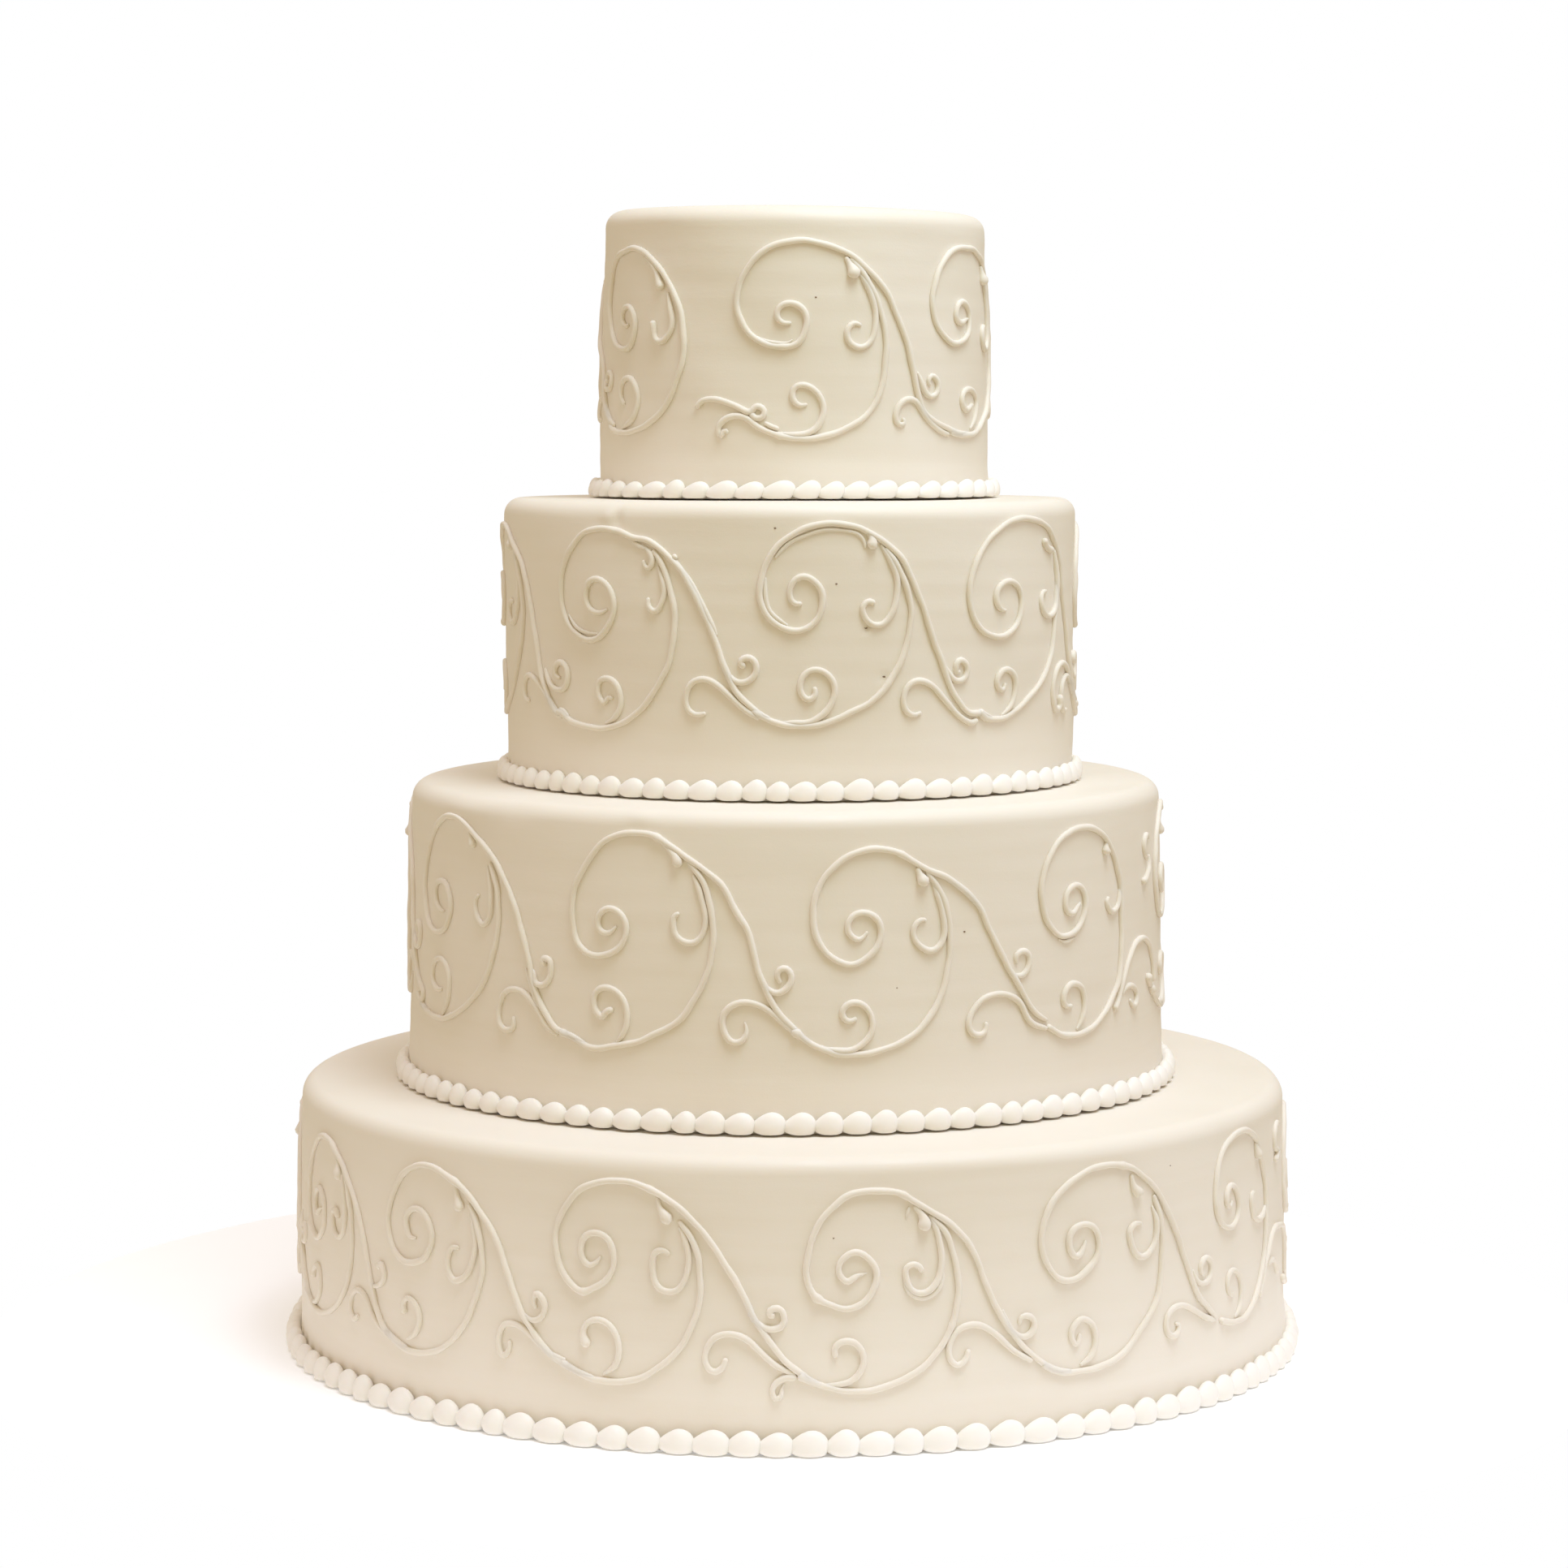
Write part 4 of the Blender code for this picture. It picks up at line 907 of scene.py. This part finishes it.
def make_scrolls(wall, icing):
    """The running scroll piped round a tier's wall."""
    tier = wall.tier
    points, faces, count = [], [], 0
    rng = rng_for("scrolls", tier.name)
    for line, lift in band_lines(tier, rng):
        u, v, off = rope_points(line, lift, rng)
        angle = u * MM / wall.drawn
        made = wall.point(angle, wall.radius(angle, v * MM) + off * MM, v * MM)
        rings = len(made)
        points.append(made.reshape(-1, 3))
        faces.extend((grid_faces(rings, RING) + count).tolist())
        faces.append(tuple(count + i for i in reversed(range(RING))))
        faces.append(tuple(count + (rings - 1) * RING + i for i in range(RING)))
        count += rings * RING
    thing = make_mesh("scroll_icing_" + tier.name, np.concatenate(points), faces, icing)
    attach(thing, "root")
    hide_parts("scrolls_" + tier.name)


PEARL_AROUND, PEARL_UP = 20, 12
PEARL_FLAT = 0.62  # how far below its middle a pearl's ball is cut flat, as a share of the radius
PEARL_TAIL = 0.24  # how far a pearl's tail reaches to the left, as a share of half its width
TAIL_HIGH = 0.36  # how high the tail is, as a share of the pearl
TAIL_NARROW = 0.35  # how much narrower than the pearl the tail is
PEARL_ROOT = 1.2 * MM  # how far the pearls reach into the wall


def make_ball():
    """A ball of radius 1, its points as places along the wall, off the wall and up, and its faces."""
    turn = np.arange(PEARL_AROUND) / PEARL_AROUND * tau
    rise = (np.arange(1, PEARL_UP) / PEARL_UP - 0.5) * pi
    rings = np.stack([
        np.outer(np.cos(rise), np.cos(turn)),
        np.outer(np.cos(rise), -np.sin(turn)),
        np.outer(np.sin(rise), np.ones(PEARL_AROUND)),
    ], axis=-1)
    points = np.concatenate([rings.reshape(-1, 3), [(0, 0, -1), (0, 0, 1)]])
    faces = grid_faces(PEARL_UP - 1, PEARL_AROUND).tolist()
    foot = len(points) - 2
    highest_ring = foot - PEARL_AROUND
    for i in range(PEARL_AROUND):
        after = (i + 1) % PEARL_AROUND
        faces += [(after, i, foot), (highest_ring + i, highest_ring + after, foot + 1)]
    return points, faces


def make_pearls(wall, icing):
    """The border of pearls piped round a tier's foot, each with a low tail to its left."""
    tier = wall.tier
    low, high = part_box("pearls_" + tier.name)
    outer = (high.x - low.x) / 2
    tall = high.z - low.z
    rng = rng_for("pearls", tier.name)
    ball, ball_faces = make_ball()
    share = rng.normal(1, 0.07, tier.pearls).clip(0.8, 1.2)
    share *= tau / share.sum()
    middle = np.cumsum(share) - share / 2
    points, faces = [], []
    along, out, up = ball.T
    tail = np.clip(-along, 0, 1) ** 1.6
    dome = np.clip((up + PEARL_FLAT) / (1 + PEARL_FLAT), 0, 1)
    spacing = (wall.foot + outer) / 2
    inner = wall.foot - PEARL_ROOT
    for i in range(tier.pearls):
        half_wide = share[i] * spacing * rng.uniform(0.49, 0.535)
        height = tall * rng.uniform(0.86, 0.985)
        reach = inner + (outer - inner) * rng.uniform(0.94, 0.99)
        beak = rng.uniform(0.25, 0.45)
        s = half_wide * (along - PEARL_TAIL * tail + 2 * tier.pearl_lean * (dome - 0.35))
        z = height * (dome + (TAIL_HIGH - dome) * beak * tail)
        z = np.maximum(z, 0.15 * MM + 0.03 * height * (1 + up))
        narrow = (1 - TAIL_NARROW * tail) * (1 - 0.12 * dome**2)
        r = (inner + reach) / 2 + (reach - inner) / 2 * out * narrow
        points.append(wall.point(middle[i] + s / spacing, r, z))
        faces.extend([[n + i * len(ball) for n in face] for face in ball_faces])
    thing = make_mesh("pearl_icing_" + tier.name, np.concatenate(points), faces, icing)
    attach(thing, "root")
    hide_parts("pearls_" + tier.name)


def make_specks(walls, material):
    """Small dark specks that lie on the fondant."""
    points, faces = [], []
    sides = 7
    turn = np.arange(sides) / sides * tau
    for name, u, v, size in SPECKS:
        wall = walls[name]
        first = len(points) * (2 * sides + 1)
        rows = []
        for spread, off in ((1.0, -0.15), (0.75, 0.3)):
            across = u + size * spread * np.cos(turn) * (1 + 0.2 * np.sin(3 * turn))
            level = v + size * 0.7 * spread * np.sin(turn)
            angle = across * MM / wall.drawn
            rows.append(wall.point(angle, wall.radius(angle, level * MM) + off * size * MM, level * MM))
        angle = np.array([u * MM / wall.drawn])
        middle = wall.point(angle, wall.radius(angle, v * MM) + 0.4 * size * MM, np.array([v * MM]))
        points.append(np.concatenate([*rows, middle]))
        faces += (grid_faces(2, sides) + first).tolist()
        faces += [
            (first + sides + i, first + sides + (i + 1) % sides, first + 2 * sides)
            for i in range(sides)
        ]
        faces.append(tuple(first + i for i in reversed(range(sides))))
    thing = make_mesh("specks", np.concatenate(points), faces, material)
    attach(thing, "root")


class Shader:
    """A material under construction: adds nodes and joins them."""

    def __init__(self, name):
        self.material = bpy.data.materials.new(name)
        self.material.use_nodes = True
        self.nodes = self.material.node_tree.nodes
        self.links = self.material.node_tree.links
        self.surface = self.nodes["Principled BSDF"]
        self.place = self.nodes.new("ShaderNodeTexCoord").outputs["Object"]

    def noise(self, scale, stretch=(1, 1, 1), detail=3.0, roughness=0.5):
        """Noise over the object, stretched along its axes."""
        mapping = self.nodes.new("ShaderNodeMapping")
        mapping.inputs["Scale"].default_value = stretch
        texture = self.nodes.new("ShaderNodeTexNoise")
        texture.inputs["Scale"].default_value = scale
        texture.inputs["Detail"].default_value = detail
        texture.inputs["Roughness"].default_value = roughness
        self.links.new(self.place, mapping.inputs["Vector"])
        self.links.new(mapping.outputs["Vector"], texture.inputs["Vector"])
        return texture.outputs["Fac"]

    def between(self, factor, low, high):
        """Noise spread between two numbers."""
        node = self.nodes.new("ShaderNodeMapRange")
        node.inputs["From Min"].default_value = 0.3
        node.inputs["From Max"].default_value = 0.7
        node.inputs["To Min"].default_value = low
        node.inputs["To Max"].default_value = high
        self.links.new(factor, node.inputs["Value"])
        return node.outputs["Result"]

    def blend(self, factor, first, second):
        """A colour between two, or between a made colour and a given one."""
        node = self.nodes.new("ShaderNodeMix")
        node.data_type = "RGBA"
        for socket, colour in ((node.inputs[6], first), (node.inputs[7], second)):
            if isinstance(colour, tuple):
                socket.default_value = (*colour, 1)
            else:
                self.links.new(colour, socket)
        self.links.new(factor, node.inputs[0])
        return node.outputs[2]

    def bump(self, height, strength, distance, normal=None):
        """A bump of so many metres, over an earlier one."""
        node = self.nodes.new("ShaderNodeBump")
        node.inputs["Strength"].default_value = strength
        node.inputs["Distance"].default_value = distance
        self.links.new(height, node.inputs["Height"])
        if normal is not None:
            self.links.new(normal, node.inputs["Normal"])
        return node.outputs["Normal"]

    def finish(self, colour, roughness, normal, **values):
        """Joins the results to the surface and sets its plain values."""
        self.links.new(colour, self.surface.inputs["Base Color"])
        self.links.new(roughness, self.surface.inputs["Roughness"])
        self.links.new(normal, self.surface.inputs["Normal"])
        for name, value in values.items():
            self.surface.inputs[name.replace("_", " ")].default_value = value
        return self.material


def fondant_material():
    """Rolled ivory fondant: satin, softly clouded, with faint level smear lines and a fine grain."""
    make = Shader("fondant")
    clouds = make.between(make.noise(9, detail=2), 0, 1)
    smears = make.between(make.noise(14, (1, 1, 14), 4), 0, 0.5)
    colour = make.blend(clouds, (0.845, 0.775, 0.665), (0.87, 0.805, 0.70))
    colour = make.blend(smears, colour, (0.88, 0.82, 0.72))
    normal = make.bump(make.noise(10, (1, 1, 10), 4, 0.6), 0.13, 0.0011)
    normal = make.bump(make.noise(60, (1, 1, 2), 3), 0.25, 0.0005, normal)
    normal = make.bump(make.noise(1400, detail=2), 0.22, 0.00012, normal)
    rough = make.between(make.noise(40, detail=4), 0.44, 0.58)
    return make.finish(
        colour, rough, normal,
        Specular_IOR_Level=0.35, Subsurface_Weight=0.15,
        Subsurface_Radius=(1.0, 0.7, 0.45), Subsurface_Scale=0.003,
    )


def icing_material(name, dark, pale):
    """Piped icing, softly clouded between two tones, with a fine grain."""
    make = Shader(name)
    clouds = make.between(make.noise(35, detail=3), 0, 1)
    colour = make.blend(clouds, dark, pale)
    normal = make.bump(make.noise(260, detail=3), 0.2, 0.00025)
    normal = make.bump(make.noise(1500, detail=2), 0.2, 0.0001, normal)
    rough = make.between(make.noise(120, detail=3), 0.46, 0.6)
    return make.finish(
        colour, rough, normal,
        Specular_IOR_Level=0.33, Subsurface_Weight=0.15,
        Subsurface_Radius=(1.0, 0.75, 0.5), Subsurface_Scale=0.002,
    )


def speck_material():
    """Dark caramel crumbs."""
    make = Shader("speck")
    colour = make.blend(make.noise(900), (0.16, 0.10, 0.06), (0.32, 0.23, 0.15))
    normal = make.bump(make.noise(2500), 0.4, 0.0001)
    rough = make.between(make.noise(800), 0.6, 0.8)
    return make.finish(colour, rough, normal)


def floor_material():
    """A plain white table top with a faint tooth and a faint glow, as lit from under."""
    make = Shader("floor")
    colour = make.blend(make.noise(3, detail=2), (0.95, 0.95, 0.945), (0.965, 0.965, 0.96))
    normal = make.bump(make.noise(600, detail=2), 0.05, 0.0001)
    rough = make.between(make.noise(20), 0.65, 0.8)
    return make.finish(
        colour, rough, normal,
        Specular_IOR_Level=0.2, Emission_Color=(1, 1, 1, 1), Emission_Strength=0.14,
    )


AIM = (0, 0, 0.2)  # the place on the cake that the softbox is aimed at
FLOOR_RADIUS = 0.34
FLOOR_RINGS = 12
FLOOR_SIDES = 96


def make_floor():
    """A round floor just under the cake, somewhat wider than its foot."""
    turn = np.arange(FLOOR_SIDES) / FLOOR_SIDES * tau
    radii = FLOOR_RADIUS * (np.arange(1, FLOOR_RINGS + 1) / FLOOR_RINGS) ** 2
    points = [
        np.stack([r * np.sin(turn), -r * np.cos(turn), -0.2 * MM + 0 * turn], axis=1) for r in radii
    ]
    faces = grid_faces(FLOOR_RINGS, FLOOR_SIDES).tolist()
    faces.append(tuple(range(FLOOR_SIDES)))
    floor = make_mesh("floor", np.concatenate(points), faces, floor_material(), smooth=False)


def make_sun(name, azimuth, elevation, strength, spread, colour):
    """Soft even light from a direction, the azimuth counted to the right of the front."""
    light = bpy.data.lights.new(name, "SUN")
    light.energy = strength * pi
    light.angle = radians(spread)
    light.color = colour
    lamp = bpy.data.objects.new(name, light)
    a, e = radians(azimuth), radians(elevation)
    towards = Vector((sin(a) * cos(e), -cos(a) * cos(e), sin(e)))
    lamp.rotation_mode = "QUATERNION"
    lamp.rotation_quaternion = towards.to_track_quat("Z", "Y")
    lamp.location = towards * 3
    bpy.context.scene.collection.objects.link(lamp)


def make_softbox(name, place, size, strength, colour):
    """A round soft light, aimed at the middle of the cake."""
    light = bpy.data.lights.new(name, "AREA")
    light.shape = "DISK"
    light.size = size
    light.energy = strength
    light.color = colour
    lamp = bpy.data.objects.new(name, light)
    lamp.location = place
    lamp.rotation_mode = "QUATERNION"
    lamp.rotation_quaternion = (Vector(place) - Vector(AIM)).to_track_quat("Z", "Y")
    bpy.context.scene.collection.objects.link(lamp)


def make_world():
    """A white studio behind the cake, and a dimmer warm light from all round."""
    world = bpy.data.worlds.new("studio")
    world.use_nodes = True
    nodes, links = world.node_tree.nodes, world.node_tree.links
    seen = nodes["Background"]
    seen.inputs["Color"].default_value = (1, 1, 1, 1)
    seen.inputs["Strength"].default_value = 1.0
    fill = nodes.new("ShaderNodeBackground")
    fill.inputs["Color"].default_value = (1.0, 0.86, 0.55, 1)
    fill.inputs["Strength"].default_value = 0.56
    path = nodes.new("ShaderNodeLightPath")
    mix = nodes.new("ShaderNodeMixShader")
    links.new(path.outputs["Is Camera Ray"], mix.inputs["Fac"])
    links.new(fill.outputs["Background"], mix.inputs[1])
    links.new(seen.outputs["Background"], mix.inputs[2])
    links.new(mix.outputs["Shader"], nodes["World Output"].inputs["Surface"])
    bpy.context.scene.world = world


def make_camera():
    """The photograph's view."""
    data = bpy.data.cameras.new("camera")
    data.lens = CAMERA_LENS
    data.sensor_width = 36
    camera = bpy.data.objects.new("camera", data)
    camera.location = CAMERA_PLACE
    camera.rotation_euler = (radians(90 - CAMERA_DOWN), 0, 0)
    bpy.context.scene.collection.objects.link(camera)
    bpy.context.scene.camera = camera


fondant = fondant_material()
scroll_icing = icing_material("scroll icing", (0.84, 0.773, 0.667), (0.87, 0.808, 0.71))
pearl_icing = icing_material("pearl icing", (0.91, 0.865, 0.785), (0.935, 0.895, 0.83))
walls = {tier.name: Wall(tier) for tier in TIERS}
for wall in walls.values():
    make_tier(wall, fondant)
    make_scrolls(wall, scroll_icing)
    make_pearls(wall, pearl_icing)
make_specks(walls, speck_material())
make_floor()
make_world()
make_softbox("near light", place=(0.35, -0.55, 1.35), size=0.6, strength=7.2, colour=(0.72, 0.91, 1.0))
make_sun("high light", azimuth=24, elevation=78, strength=0.42, spread=30, colour=(0.68, 0.69, 0.96))
make_sun("right light", azimuth=75, elevation=12, strength=0.15, spread=40, colour=(0.5, 0.53, 1.0))
make_sun("left light", azimuth=-75, elevation=12, strength=0.1, spread=40, colour=(0.72, 0.6, 1.0))
make_camera()
bpy.context.scene.view_settings.view_transform = "Standard"
